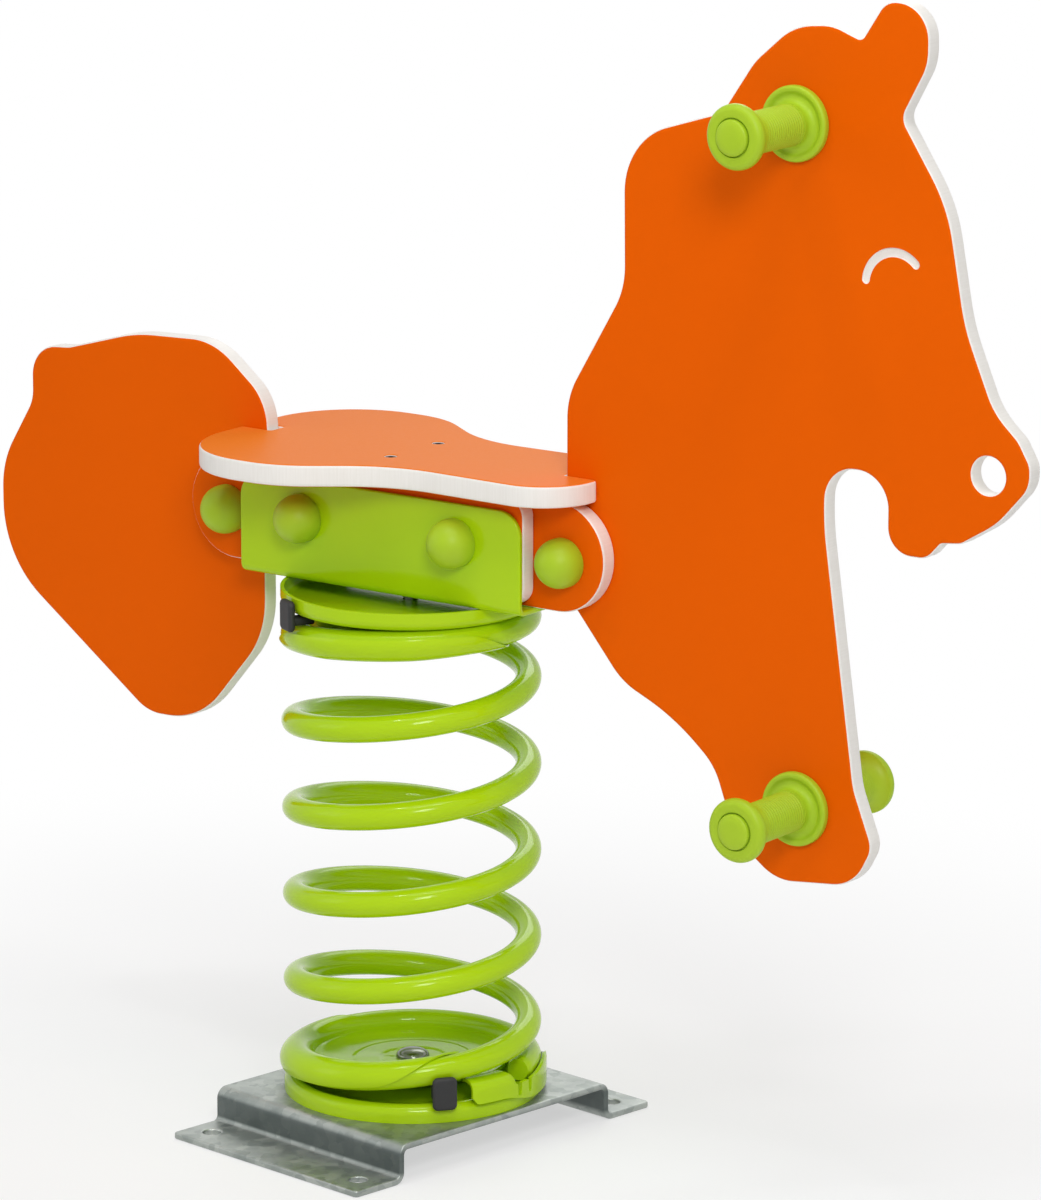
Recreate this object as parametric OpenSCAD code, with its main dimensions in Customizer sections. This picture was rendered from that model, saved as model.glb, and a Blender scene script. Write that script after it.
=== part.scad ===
// Horse spring rider: a board horse on a coil spring that is clamped to a steel base plate.
// Millimetres, +Z up, +X is the way the horse looks. The origin is on the ground, on the spring's axis.

/* [Base plate] */
// Length of the base plate along its flanges
base_len = 206; // [180:1:260]
// Overall width across both flanges
base_w = 318; // [290:1:400]
// Width of the raised top, over its two webs
base_top_w = 226; // [212:1:240]
// Height of the raised top above the ground
base_h = 31; // [28:1:60]
// Thickness of the base plate
base_t = 5; // [4:0.5:8]
// Diameter of the ground bolt holes
ground_hole_d = 14; // [9:0.5:18]
// Spacing of the ground bolts along the flanges
ground_hole_len = 164; // [120:1:170]
// Turn of the base plate about the spring's axis, in degrees
base_turn = -9; // [-45:1:45]

/* [Spring] */
// Outside diameter of the coil
spring_od = 200; // [170:1:205]
// Diameter of the wire
wire_d = 20; // [16:0.5:22]
// Height of the coil over its two flat ends
spring_h = 372; // [360:1:460]
// Free turns between the two clamps
free_turns = 5.125; // [4.5:0.125:5.5]
// Angle at which the wire leaves the lower clamp, in degrees
leave_turn = -118.125; // [-180:5.625:0]

/* [Clamps] */
// Height of the round clamp plate
clamp_h = 14; // [13:0.5:20]
// Sheet thickness of the clamp pressings
clamp_t = 3; // [2:0.5:4]
// Diameter of the clamp bolts
clamp_bolt_d = 12; // [10:1:16]
// Place of the lower pinch block, in degrees before the wire's own end
lower_block_turn = 48; // [40:1:90]
// Place of the upper pinch block, in degrees before the wire's own end
upper_block_turn = 85; // [40:1:100]

/* [Saddle] */
// Length of the U bracket
bracket_len = 266; // [230:1:300]
// Height of the U bracket's sides
bracket_h = 80; // [70:1:110]
// Sheet thickness of the U bracket
bracket_t = 4; // [3:0.5:6]
// Corner radius of the bracket's sides
bracket_corner = 20; // [5:1:30]
// Spacing of the bolts through the bracket
bracket_bolt_gap = 146; // [110:1:180]
// Clear distance between the bracket's ends and the caps of the link bolts
link_cap_gap = 7.5; // [3:0.5:12]
// Reach of the link boards' round ends past their bolts
link_end = 37; // [32:1:50]
// Height of the link boards, from the bracket's floor to the seat
link_h = 85; // [74:1:100]
// Thickness of the link boards and spacer boards
link_t = 15; // [12:0.5:20]
// Corner radius of the spacer boards
spacer_corner = 14; // [2:1:30]

/* [Panels and seat] */
// Thickness of the head and tail boards
panel_t = 15; // [12:0.5:20]
// Thickness of the seat board
seat_t = 17; // [15:0.5:22]
// Distance of the neck's rear edge from the spring's axis
neck_x = 151; // [145:1:155]
// Reach of the head panel's and tail panel's tongues towards the middle
tongue_x = 42; // [30:1:55]
// Half width of the seat at the back
seat_back_w = 109; // [95:1:120]
// Half width of the seat at the front
seat_front_w = 61; // [50:1:70]
// Distance of the seat's back edge from the spring's axis
seat_back_x = 157; // [153:1:175]
// Distance of the seat's front edge from the spring's axis
seat_front_x = 181; // [172:1:195]
// Diameter of the nostril hole
nostril_d = 28; // [15:1:34]
// Width of the routed eye groove
eye_w = 6; // [3:0.5:10]

/* [Grips] */
// Distance of a grip's end from its panel
grip_len = 83; // [70:1:120]
// Diameter of the ribbed shaft
grip_d = 31; // [28:0.5:36]
// Diameter of the flange on the panel
grip_flange_d = 56; // [46:1:70]
// Diameter of the end flange
grip_end_d = 48; // [40:1:60]
// Ribs on each shaft
grip_ribs = 18; // [6:1:18]
// Diameter of the through rods
grip_rod_d = 12; // [10:0.5:12]

/* [Fasteners] */
// Diameter of the board bolts
board_bolt_d = 10; // [8:1:12]
// Diameter of the round bolt caps
cap_d = 38; // [32:1:44]
// Height of the round bolt caps
cap_h = 24; // [17:1:26]
// Diameter of the seat screws
seat_screw_d = 5; // [4:0.5:6]
// Length of the seat screws
seat_screw_len = 50; // [40:1:55]

/* [Hidden] */
$fn = 64;
// Named clearances: a seat, a hole round its bolt, a board's slot
fit = 0.3;
hole_play = 1;
slot_play = 0.4;
// Largest turn of one straight piece in a rounded outline
arc_step = 12;

lime = "yellowgreen";
board_colour = "darkorange";
zinc = "slategray";
rubber = [0.12, 0.12, 0.12];

// Base plate: inner bend radius, and how far the ground holes lie outside the webs
bend_r = 4;
flange_w = (base_w - base_top_w) / 2;
ground_hole_w = base_top_w + flange_w + 2;

// Spring: the wire's own radius, the radius of its centre line, and its rings
wire_r = wire_d / 2;
coil_r = (spring_od - wire_d) / 2;
rings_per_turn = 32;
wire_sides = 12;
ring_turn = 360 / rings_per_turn;
free_rings = round(free_turns * rings_per_turn);
// The flat end turns, in rings, and the turn over which the wire lifts off them
flat_rings = 20.5;
lift_turn = 45;
leave_ring = round(leave_turn / ring_turn * 2) / 2;
land_ring = leave_ring + free_rings;
first_ring = ceil(leave_ring - flat_rings);
last_ring = floor(land_ring + flat_rings);
wire_end_turn = first_ring * ring_turn + 360;
wire_low = base_h + clamp_h + wire_r;
wire_high = base_h + clamp_h + spring_h - wire_r;
wire_pitch = (wire_high - wire_low) / (free_rings * ring_turn);
middle_h = (wire_low + wire_high) / 2;
// The upper clamp is the lower one turned over about a level line at this angle
turn_over = (leave_ring + land_ring) / 2 * ring_turn;

// Clamp pressings: rim of the plate, floor and slanted wall and rolled channel of the dish, and the end stop
plate_top = base_h + clamp_h;
plate_r = coil_r + wire_r;
rim_r = clamp_h - 1;
dish_drop = 4;
dish_wall_low = 2;
dish_wall_high = 3;
dish_floor_h = wire_low - dish_drop;
dish_first = first_ring + 4;
dish_last = leave_ring + 6.5;
dish_arc_steps = 9;
lip_end_turn = -20;
lip_rings = 4;
lip_open_turn = 60;
stop_wall_r = plate_r + 1.3;
stop_wall_h = wire_low - plate_top + 3;
stop_h = wire_r + 5;
stop_first = wire_end_turn - 38;
stop_turn = 21;
stop_wall_gap = 2;
stop_wall_turn = (dish_first + rings_per_turn) * ring_turn - stop_first - stop_wall_gap;
notch_w = 4;
block_turn = 8;
block_face = 5.5;
bolt_head_d = 2 * clamp_bolt_d + 2;
bolt_head_h = clamp_bolt_d / 2 + 1;
nut_h = 10;
washer_t = 2.5;
clamp_bolt_end = 4;

// Saddle: heights count from the underside of the U bracket
saddle_h = base_h + clamp_h + spring_h + clamp_h;
bracket_bend = 3;
board_h = bracket_t + bracket_bend;
board_top = bracket_t + link_h;
link_y = panel_t / 2;
spacer_y = link_y + link_t;
bracket_y = spacer_y + link_t;
bracket_out = bracket_y + bracket_t;
link_bolt_gap = bracket_len + cap_d + 2 * link_cap_gap;
link_len = link_bolt_gap + 2 * link_end;
bolt_line = (board_h + board_top) / 2;
bracket_bolt_h = bolt_line + 2;
link_bolt_h = bolt_line - 5;
nut_bay_w = 2 * clamp_bolt_d + 10;
nut_bay_h = 25;

// Panels: clear of the bracket's ends, with the tongue inside the link boards' height
panel_gap = 3;
tongue_gap = 3;
tail_x = bracket_len / 2 + panel_gap;
tongue_low = board_h + tongue_gap;
tongue_high = board_top - tongue_gap;
handle_at = [355, 390.5];
footrest_at = [361, -118];
nostril_at = [521, 152];
eye_at = [440, 280];
eye_r = 25;
eye_first = 43;
eye_turn = 130;
groove_deep = 3;

// Corners of the head panel as [x, height, radius]: ear, face, lip, throat, foot, belly, tongue, neck, mane
head_corners = [
    [429, 485, 17], [466, 485, 26], [466, 442, 40], [444, 402, 12], [484, 342, 120], [500, 257, 150],
    [525, 199, 60], [546, 180, 26], [556, 163, 16], [556, 147, 24], [529, 117, 70], [499, 99, 16],
    [482, 97, 5], [470, 84, 16], [436, 84, 20], [436, 142, 26], [383, 142, 25], [382, 99, 200],
    [410, -96, 60], [427, -139, 18], [411, -170, 34], [342, -177, 40], [305, -150, 20], [286, -98, 50],
    [250, -67, 180], [202, -46, 60], [neck_x + 4, tongue_low, 6], [tongue_x, tongue_low, 10],
    [tongue_x, tongue_high, 10], [neck_x, tongue_high, 2], [neck_x, 166, 60], [203, 253, 60],
    [202, 365, 54], [289, 392, 25], [317, 432, 60], [351, 461, 50], [384, 464, 40], [409, 455, 5]
];

// Corners of the tail panel as [x, height, radius]: rump, tongue, hind leg, tail
tail_corners = [
    [-370, 101, 30], [-370, 145, 26], [-331, 148, 30], [-263, 167, 150], [-185, 170, 60],
    [-tail_x + 2, 129, 45], [-tail_x + 5, tongue_high, 2], [-tongue_x, tongue_high, 10],
    [-tongue_x, tongue_low, 10], [-tail_x, tongue_low, 2], [-tail_x, -58, 75], [-203, -137, 70],
    [-256, -138, 40], [-403, -31, 90], [-403, 47, 75]
];

// Corners of the seat as [x, y, radius], one side: back, widest place, waist, front
seat_corners = [
    [-seat_back_x, seat_back_w, 74], [-46, seat_back_w, 80], [26, seat_front_w - 4, 110],
    [seat_front_x, seat_front_w, 44]
];
seat_low = board_top;
seat_screw_x = 4;
seat_screw_y = spacer_y + link_t / 2;
screw_head_d = 2 * seat_screw_d;
screw_head_h = seat_screw_d / 2;
screw_hole_d = seat_screw_d + 2 * fit;

// Grips: flange, ribbed shaft, end flange with a pocket for the rod's nut, and a round cap
flange_t = 6;
end_flange_t = 8;
rib_deep = 1;
pocket_d = 23;
pocket_deep = 14;
grip_cap_d = 28;
grip_cap_h = 5;

// Board bolts: bolt head, nut and washer under each cap
bolt_head_t = 6.5;
board_nut_h = 8;
board_hole_d = board_bolt_d + hole_play;
board_nut_w = 1.6 * board_bolt_d + 2;
board_washer_d = 2 * board_bolt_d;
board_washer_t = 2;
cap_wall = 4;
cap_bay_d = board_nut_w / cos(30) + 3;
cap_bay_deep = board_washer_t + board_nut_h + 3;

// Outlines with rounded corners: each corner becomes an arc that touches both of its sides
function unit(v) = v / norm(v);
function flat(c) = [c[0], c[1]];
function corner_arc(before, at, after, r) =
    let (u = unit(before - at), w = unit(after - at))
    let (half = acos(max(-1, min(1, u * w))) / 2)
    let (centre = at + unit(u + w) * r / sin(half))
    let (first = at + u * r / tan(half) - centre, last = at + w * r / tan(half) - centre)
    let (start = atan2(first[1], first[0]))
    let (turn = (atan2(last[1], last[0]) - start + 540) % 360 - 180)
    let (steps = max(2, ceil(abs(turn) / arc_step)))
    [for (k = [0:steps]) centre + r * [cos(start + turn * k / steps), sin(start + turn * k / steps)]];
function rounded(corners) =
    let (n = len(corners))
    [for (i = [0:n - 1]) each corner_arc(
        flat(corners[(i + n - 1) % n]), flat(corners[i]), flat(corners[(i + 1) % n]), corners[i][2])];
function mirrored(corners) =
    concat(corners, [for (i = [len(corners) - 1:-1:0]) [corners[i][0], -corners[i][1], corners[i][2]]]);

// Height of the wire's centre line at an angle: flat, then rising at one pitch, then flat again
function lift(a) =
    a < -lift_turn ? 0 : a > lift_turn ? a : (a + lift_turn) * (a + lift_turn) / (4 * lift_turn);
function wire_z(a) =
    wire_low + wire_pitch * (lift(a - leave_ring * ring_turn) - lift(a - land_ring * ring_turn));
function wire_at(a) = [coil_r * cos(a), coil_r * sin(a), wire_z(a)];
function wire_slope(a) = atan2(wire_z(a + 1) - wire_z(a - 1), 2 * PI / 180 * coil_r);
function wire_ring(a) =
    let (side = [cos(a), sin(a), 0], s = wire_slope(a))
    let (up = [sin(s) * sin(a), -sin(s) * cos(a), cos(s)])
    [for (k = [0:wire_sides - 1])
        wire_at(a) + wire_r * (cos(k * 360 / wire_sides) * side + sin(k * 360 / wire_sides) * up)];

// Least gap between two stretches of the wire that lie half a turn or more apart
wire_path = [for (k = [first_ring:last_ring]) wire_at(k * ring_turn)];
wire_gap = min([for (i = [0:len(wire_path) - 1], j = [i + rings_per_turn / 2:1:len(wire_path) - 1])
    norm(wire_path[i] - wire_path[j])]) - wire_d;
echo(least_gap_of_the_spring_to_itself = wire_gap);

// A tube or pressing whose cross-sections are given ring by ring
module swept(rings) {
    n = len(rings[0]);
    m = len(rings);
    polyhedron(
        points = [for (r = rings) each r],
        faces = concat(
            [for (i = [0:m - 2], k = [0:n - 1]) [i * n + k, i * n + (k + 1) % n, (i + 1) * n + k]],
            [for (i = [0:m - 2], k = [0:n - 1])
                [(i + 1) * n + k, i * n + (k + 1) % n, (i + 1) * n + (k + 1) % n]],
            [[for (k = [n - 1:-1:0]) k]],
            [[for (k = [0:n - 1]) (m - 1) * n + k]]));
}

// A board standing in the horse's plane, between two places across it
module board(outline, y, t) {
    translate([0, y + t, 0]) rotate([90, 0, 0]) linear_extrude(t) polygon(outline);
}

// A round bar across the horse, between two places across it
module cross_bar(at, y0, y1, d) {
    translate([at[0], y1, at[1]]) rotate([90, 0, 0]) cylinder(d = d, h = y1 - y0);
}

module on_saddle() {
    translate([0, 0, saddle_h]) children();
}

module turned_over() {
    translate([0, 0, middle_h]) rotate(a = 180, v = [cos(turn_over), sin(turn_over), 0])
        translate([0, 0, -middle_h]) children();
}

module hex_bar(w, h) {
    cylinder(d = w / cos(30), h = h, $fn = 6);
}

// Hat-profile plate: raised top, two webs, two flanges with ground bolt holes
module base_plate() {
    web = base_top_w / 2;
    half = base_w / 2;
    outer_r = bend_r + base_t;
    side = [
        [half, 0, 0.5], [half, base_t, 0.5], [web, base_t, bend_r], [web, base_h, outer_r]
    ];
    under = [
        [-web + base_t, base_h - base_t, bend_r], [-web + base_t, 0, outer_r]
    ];
    profile = concat(
        side, [for (i = [3:-1:0]) [-side[i][0], side[i][1], side[i][2]]],
        [for (i = [1:-1:0]) under[i]], [for (i = [0:1]) [-under[i][0], under[i][1], under[i][2]]]);
    color(zinc) rotate([0, 0, base_turn]) difference() {
        rotate([90, 0, 90]) translate([0, 0, -base_len / 2]) linear_extrude(base_len)
            polygon(rounded(profile));
        for (x = [-1, 1], y = [-1, 1])
            translate([x * ground_hole_len / 2, y * ground_hole_w / 2, -1])
                cylinder(d = ground_hole_d, h = base_t + 2);
        translate([0, 0, base_h - base_t - 1]) cylinder(d = clamp_bolt_d + hole_play, h = base_t + 2);
    }
}

// Round pressing with a turned-down rim, a wall round the wire's end and a stop for it
module clamp_plate() {
    inner = plate_r - clamp_t;
    hole_r = (clamp_bolt_d + hole_play) / 2;
    rim = [
        [hole_r, plate_top - clamp_t, 0.2], [inner, plate_top - clamp_t, rim_r - clamp_t],
        [inner, base_h, 0.2], [plate_r, base_h, 0.2], [plate_r, plate_top, rim_r], [hole_r, plate_top, 0.2]
    ];
    wall = [
        [inner - rim_r, plate_top - clamp_t], [stop_wall_r, plate_top - clamp_t], [stop_wall_r, base_h],
        [stop_wall_r + clamp_t, base_h], [stop_wall_r + clamp_t, plate_top + stop_wall_h],
        [stop_wall_r, plate_top + stop_wall_h], [stop_wall_r, plate_top], [inner - rim_r, plate_top]
    ];
    stop = [
        [plate_r - wire_d + 2, plate_top - 1, 0.2], [stop_wall_r + 1, plate_top - 1, 0.2],
        [stop_wall_r + 1, plate_top + stop_h, 1], [plate_r - wire_d + 2, plate_top + stop_h, 6]
    ];
    difference() {
        union() {
            rotate_extrude() polygon(rounded(rim));
            rotate([0, 0, stop_first]) rotate_extrude(angle = stop_wall_turn) polygon(wall);
            rotate([0, 0, stop_first]) rotate_extrude(angle = stop_turn) polygon(rounded(stop));
        }
        for (k = [1, 2])
            rotate([0, 0, stop_first + stop_turn + 8 * k - 4])
                translate([stop_wall_r - 1, -notch_w / 2, plate_top + 3])
                    cube([clamp_t + 2, notch_w, stop_wall_h]);
    }
}

// Cross-section of the dish at one ring, from the bolt hole outwards: the flat floor, a slanted wall, then
// a channel rolled over the wire. The lip lifts on the last rings, where the dish lets the wire go.
function channel(r, z, b) = [coil_r + r * cos(b), z + r * sin(b)];
function lip_turn(k) =
    lip_end_turn + (lip_open_turn - lip_end_turn) * max(0, 1 - (dish_last - k) / lip_rings);
function on_ring(k, section) =
    [for (p = section) [p[0] * cos(k * ring_turn), p[0] * sin(k * ring_turn), p[1]]];
function dish_section(z, lip) =
    let (r = wire_r + 2 * fit, foot = coil_r - r, step = (180 - lip) / dish_arc_steps)
    let (hole_r = (clamp_bolt_d + hole_play) / 2, floor_top = dish_floor_h + clamp_t)
    concat(
        [[hole_r, floor_top], [hole_r, dish_floor_h], [foot - dish_wall_low, dish_floor_h]],
        [for (i = [0:dish_arc_steps]) channel(r, z, 180 - step * i)],
        [for (i = [dish_arc_steps:-1:0]) channel(r + clamp_t, z, 180 - step * i)],
        [[foot - clamp_t - dish_wall_high, floor_top]]);

// Pressed dish, one shell all the way round: the rim follows the wire as it lifts, from its first ring to
// its last, and on the other rings only the section's first three corners and its last one are left
module clamp_dish() {
    rim = [for (k = [dish_first:dish_last]) on_ring(k, dish_section(wire_z(k * ring_turn), lip_turn(k)))];
    n = len(rim[0]);
    flat_section = dish_section(wire_low, 0);
    floor_corners = [0, 1, 2, n - 1];
    bare = [for (k = [dish_last + 1:dish_first + rings_per_turn - 1])
        on_ring(k, [for (c = floor_corners) flat_section[c]])];
    last = len(rim) - 1;
    function at(i, c) = i <= last ? i * n + c : (last + 1) * n + (i - last - 1) * 4 + min(c, 3);
    function span(i, c, d) = let (j = (i + 1) % rings_per_turn)
        [[at(i, c), at(i, d), at(j, c)], [at(j, c), at(i, d), at(j, d)]];
    polyhedron(
        points = concat([for (r = rim) each r], [for (r = bare) each r]),
        faces = concat(
            [for (i = [0:last - 1], c = [0:n - 1]) each span(i, c, (c + 1) % n)],
            [for (i = [last:rings_per_turn - 1], c = [0:3])
                each span(i, floor_corners[c], floor_corners[(c + 1) % 4])],
            [[for (c = [n - 1:-1:2]) at(0, c)]],
            [[for (c = [2:n - 1]) at(last, c)]]));
}

// Rubber block in the gap between the clamp plate and the lifting wire; its face laps over both,
// or ends below the dish's rolled rim where that covers the wire
module pinch_block(before_end) {
    a = wire_end_turn - before_end;
    first = a - block_turn / 2;
    under = wire_z(first) - wire_r - fit;
    lip = wire_z(first) + (wire_r + 2 * fit + clamp_t) * sin(lip_end_turn) - 2 * fit;
    top = a < dish_last * ring_turn ? lip : wire_z(first) + 2;
    face = [
        [plate_r + 1, plate_top - 2, 1], [plate_r + block_face, plate_top - 2, 1],
        [plate_r + block_face, top, 1], [plate_r + 1, top, 1]
    ];
    body = [
        [plate_r - wire_d + 3, plate_top + fit], [plate_r + 2, plate_top + fit], [plate_r + 2, under],
        [plate_r - wire_d + 3, under]
    ];
    rotate([0, 0, first]) rotate_extrude(angle = block_turn) polygon(rounded(face));
    rotate([0, 0, first]) rotate_extrude(angle = block_turn) polygon(body);
}

// Round-head bolt from the dish's floor through the plate and what it is bolted to
module clamp_bolt(through) {
    head_at = dish_floor_h + clamp_t;
    end = base_h - through - washer_t - nut_h - clamp_bolt_end;
    translate([0, 0, head_at]) rotate_extrude() polygon(concat([[0, 0]],
        [for (b = [0:10:90]) [bolt_head_d / 2 * cos(b), bolt_head_h * sin(b)]]));
    translate([0, 0, end]) cylinder(d = clamp_bolt_d, h = head_at - end + 0.1);
}

module clamp_washer(through) {
    translate([0, 0, base_h - through - washer_t]) difference() {
        cylinder(d = 2 * clamp_bolt_d, h = washer_t);
        translate([0, 0, -1]) cylinder(d = clamp_bolt_d + hole_play, h = washer_t + 2);
    }
}

module clamp_nut(through) {
    translate([0, 0, base_h - through - washer_t - nut_h]) difference() {
        hex_bar(1.5 * clamp_bolt_d, nut_h);
        translate([0, 0, -1]) cylinder(d = clamp_bolt_d + 2 * fit, h = nut_h + 2);
    }
}

module lower_clamp_plate() {
    color(lime) clamp_plate();
}

module lower_clamp_dish() {
    color(lime) clamp_dish();
}

module lower_pinch_block() {
    color(rubber) pinch_block(lower_block_turn);
}

module lower_clamp_bolt() {
    color(zinc) clamp_bolt(base_t);
}

module lower_clamp_washer() {
    color(zinc) clamp_washer(base_t);
}

module lower_clamp_nut() {
    color(zinc) clamp_nut(base_t);
}

// One unbroken wire: flat end turn, free turns, flat end turn
module spring() {
    color(lime) swept([for (k = [first_ring:last_ring]) wire_ring(k * ring_turn)]);
}

module upper_clamp_plate() {
    color(lime) turned_over() clamp_plate();
}

module upper_clamp_dish() {
    color(lime) turned_over() clamp_dish();
}

module upper_pinch_block() {
    color(rubber) turned_over() pinch_block(upper_block_turn);
}

module upper_clamp_bolt() {
    color(zinc) turned_over() clamp_bolt(bracket_t);
}

module upper_clamp_washer() {
    color(zinc) turned_over() clamp_washer(bracket_t);
}

module upper_clamp_nut() {
    color(zinc) turned_over() clamp_nut(bracket_t);
}

// Folded U with rounded upper corners, bolted through both sides and through its floor
module saddle_bracket() {
    outer_r = bracket_bend + bracket_t;
    u_profile = [
        [-bracket_out, 0, outer_r], [bracket_out, 0, outer_r], [bracket_out, bracket_h, 0.5],
        [bracket_y, bracket_h, 0.5], [bracket_y, bracket_t, bracket_bend],
        [-bracket_y, bracket_t, bracket_bend], [-bracket_y, bracket_h, 0.5], [-bracket_out, bracket_h, 0.5]
    ];
    side = [
        [-bracket_len / 2, 0, 2], [bracket_len / 2, 0, 2], [bracket_len / 2, bracket_h, bracket_corner],
        [-bracket_len / 2, bracket_h, bracket_corner]
    ];
    color(lime) on_saddle() difference() {
        intersection() {
            rotate([90, 0, 90]) translate([0, 0, -bracket_len / 2 - 1]) linear_extrude(bracket_len + 2)
                polygon(rounded(u_profile));
            board(rounded(side), -bracket_out - 1, 2 * bracket_out + 2);
        }
        for (x = [-1, 1])
            cross_bar([x * bracket_bolt_gap / 2, bracket_bolt_h], -bracket_out - 1, bracket_out + 1,
                board_hole_d);
        translate([0, 0, -1]) cylinder(d = clamp_bolt_d + hole_play, h = bracket_t + 2);
    }
}

// Board between a link board and a side of the bracket, with a pilot hole for its seat screw
module spacer_board(side) {
    y = side < 0 ? -spacer_y - link_t : spacer_y;
    half = bracket_len / 2;
    outline = [
        [-half, board_h, spacer_corner], [half, board_h, spacer_corner], [half, board_top, spacer_corner],
        [-half, board_top, spacer_corner]
    ];
    color(board_colour) on_saddle() difference() {
        board(rounded(outline), y, link_t);
        for (x = [-1, 1])
            cross_bar([x * bracket_bolt_gap / 2, bracket_bolt_h], y - 1, y + link_t + 1, board_hole_d);
        translate([seat_screw_x, side * seat_screw_y, seat_low + seat_t - seat_screw_len - 1])
            cylinder(d = seat_screw_d + fit, h = seat_screw_len + 1);
    }
}

// Round-ended board that carries the head and the tail, with a bay for the clamp's nut
module link_board(side) {
    y = side < 0 ? -link_y - link_t : link_y;
    reach = link_len / 2;
    round_r = link_h / 2 - 0.01;
    bay_top = bracket_t + nut_bay_h;
    outline = [
        [-reach, bracket_t, round_r], [-nut_bay_w / 2, bracket_t, 2], [-nut_bay_w / 2, bay_top, 6],
        [nut_bay_w / 2, bay_top, 6], [nut_bay_w / 2, bracket_t, 2], [reach, bracket_t, round_r],
        [reach, board_top, round_r], [-reach, board_top, round_r]
    ];
    color(board_colour) on_saddle() difference() {
        board(rounded(outline), y, link_t);
        for (x = [-1, 1]) {
            cross_bar([x * bracket_bolt_gap / 2, bracket_bolt_h], y - 1, y + link_t + 1, board_hole_d);
            cross_bar([x * link_bolt_gap / 2, link_bolt_h], y - 1, y + link_t + 1, board_hole_d);
        }
    }
}

// Holes through a panel for the bracket bolt and the link bolt on its side of the spring
module panel_bolt_holes(side) {
    for (at = [[side * bracket_bolt_gap / 2, bracket_bolt_h], [side * link_bolt_gap / 2, link_bolt_h]])
        cross_bar(at, -panel_t, panel_t, board_hole_d);
}

// Routed arc of the closed eye: two round edges joined by round ends
function ring_arc(centre, r, first, turn) =
    let (steps = max(4, ceil(abs(turn) / arc_step)))
    [for (k = [0:steps - 1]) centre + r * [cos(first + turn * k / steps), sin(first + turn * k / steps)]];
function eye_outline() =
    let (w = eye_w / 2, last = eye_first + eye_turn)
    concat(
        ring_arc(eye_at, eye_r + w, eye_first, eye_turn),
        ring_arc(eye_at + eye_r * [cos(last), sin(last)], w, last, 180),
        ring_arc(eye_at, eye_r - w, last, -eye_turn),
        ring_arc(eye_at + eye_r * [cos(eye_first), sin(eye_first)], w, eye_first + 180, 180));

// Head, neck and front leg in one board, with the tongue that the link boards hold
module head_panel() {
    color(board_colour) on_saddle() difference() {
        board(rounded(head_corners), -panel_t / 2, panel_t);
        panel_bolt_holes(1);
        for (at = [handle_at, footrest_at]) cross_bar(at, -panel_t, panel_t, grip_rod_d + hole_play);
        cross_bar(nostril_at, -panel_t, panel_t, nostril_d);
        board(eye_outline(), -panel_t / 2 - 1, groove_deep + 1);
        board(eye_outline(), panel_t / 2 - groove_deep, groove_deep + 1);
    }
}

// Hind quarters and tail in one board, with the tongue that the link boards hold
module tail_panel() {
    color(board_colour) on_saddle() difference() {
        board(rounded(tail_corners), -panel_t / 2, panel_t);
        panel_bolt_holes(-1);
    }
}

// Waisted seat, slotted over both panels and screwed down to the spacer boards
module seat_board() {
    slot = panel_t + 2 * slot_play;
    tail_slot = seat_back_x - tail_x + 7;
    head_slot = seat_front_x - neck_x + 1;
    color(board_colour) on_saddle() difference() {
        translate([0, 0, seat_low]) linear_extrude(seat_t) polygon(rounded(mirrored(seat_corners)));
        translate([-seat_back_x - 1, -slot / 2, seat_low - 1]) cube([tail_slot + 1, slot, seat_t + 2]);
        translate([seat_front_x - head_slot, -slot / 2, seat_low - 1])
            cube([head_slot + 1, slot, seat_t + 2]);
        for (side = [-1, 1]) translate([seat_screw_x, side * seat_screw_y, seat_low]) {
            translate([0, 0, -1]) cylinder(d = screw_hole_d, h = seat_t + 2);
            translate([0, 0, seat_t - screw_head_h - fit])
                cylinder(d1 = screw_hole_d, d2 = screw_head_d + 4 * fit, h = screw_head_h + 2 * fit);
        }
    }
}

module seat_screws() {
    color(zinc) on_saddle() for (side = [-1, 1])
        translate([seat_screw_x, side * seat_screw_y, seat_low + seat_t]) {
            translate([0, 0, -seat_screw_len]) cylinder(d = seat_screw_d, h = seat_screw_len - screw_head_h);
            translate([0, 0, -screw_head_h]) cylinder(d1 = seat_screw_d, d2 = screw_head_d, h = screw_head_h);
        }
}

// Bolts across the boards: head and washer on the right, washer and nut on the left
module board_bolts(gap, h, half) {
    color(zinc) on_saddle() for (x = [-1, 1]) {
        cross_bar([x * gap / 2, h], -half - board_washer_t - 0.1, half + board_washer_t + board_nut_h + 2,
            board_bolt_d);
        translate([x * gap / 2, -half - board_washer_t, h]) rotate([90, 0, 0])
            hex_bar(board_nut_w, bolt_head_t);
    }
}

module bracket_bolts() {
    board_bolts(bracket_bolt_gap, bracket_bolt_h, bracket_out);
}

module link_bolts() {
    board_bolts(link_bolt_gap, link_bolt_h, spacer_y);
}

// Places of the board bolts: spacing, height, and the face that the washers lie on
board_bolt_rows = [
    [bracket_bolt_gap, bracket_bolt_h, bracket_out], [link_bolt_gap, link_bolt_h, spacer_y]
];

module bolt_washers() {
    color(zinc) on_saddle() for (row = board_bolt_rows, x = [-1, 1], side = [-1, 1]) {
        y = side < 0 ? -row[2] - board_washer_t : row[2];
        difference() {
            cross_bar([x * row[0] / 2, row[1]], y, y + board_washer_t, board_washer_d);
            cross_bar([x * row[0] / 2, row[1]], y - 1, y + board_washer_t + 1, board_hole_d);
        }
    }
}

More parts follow.
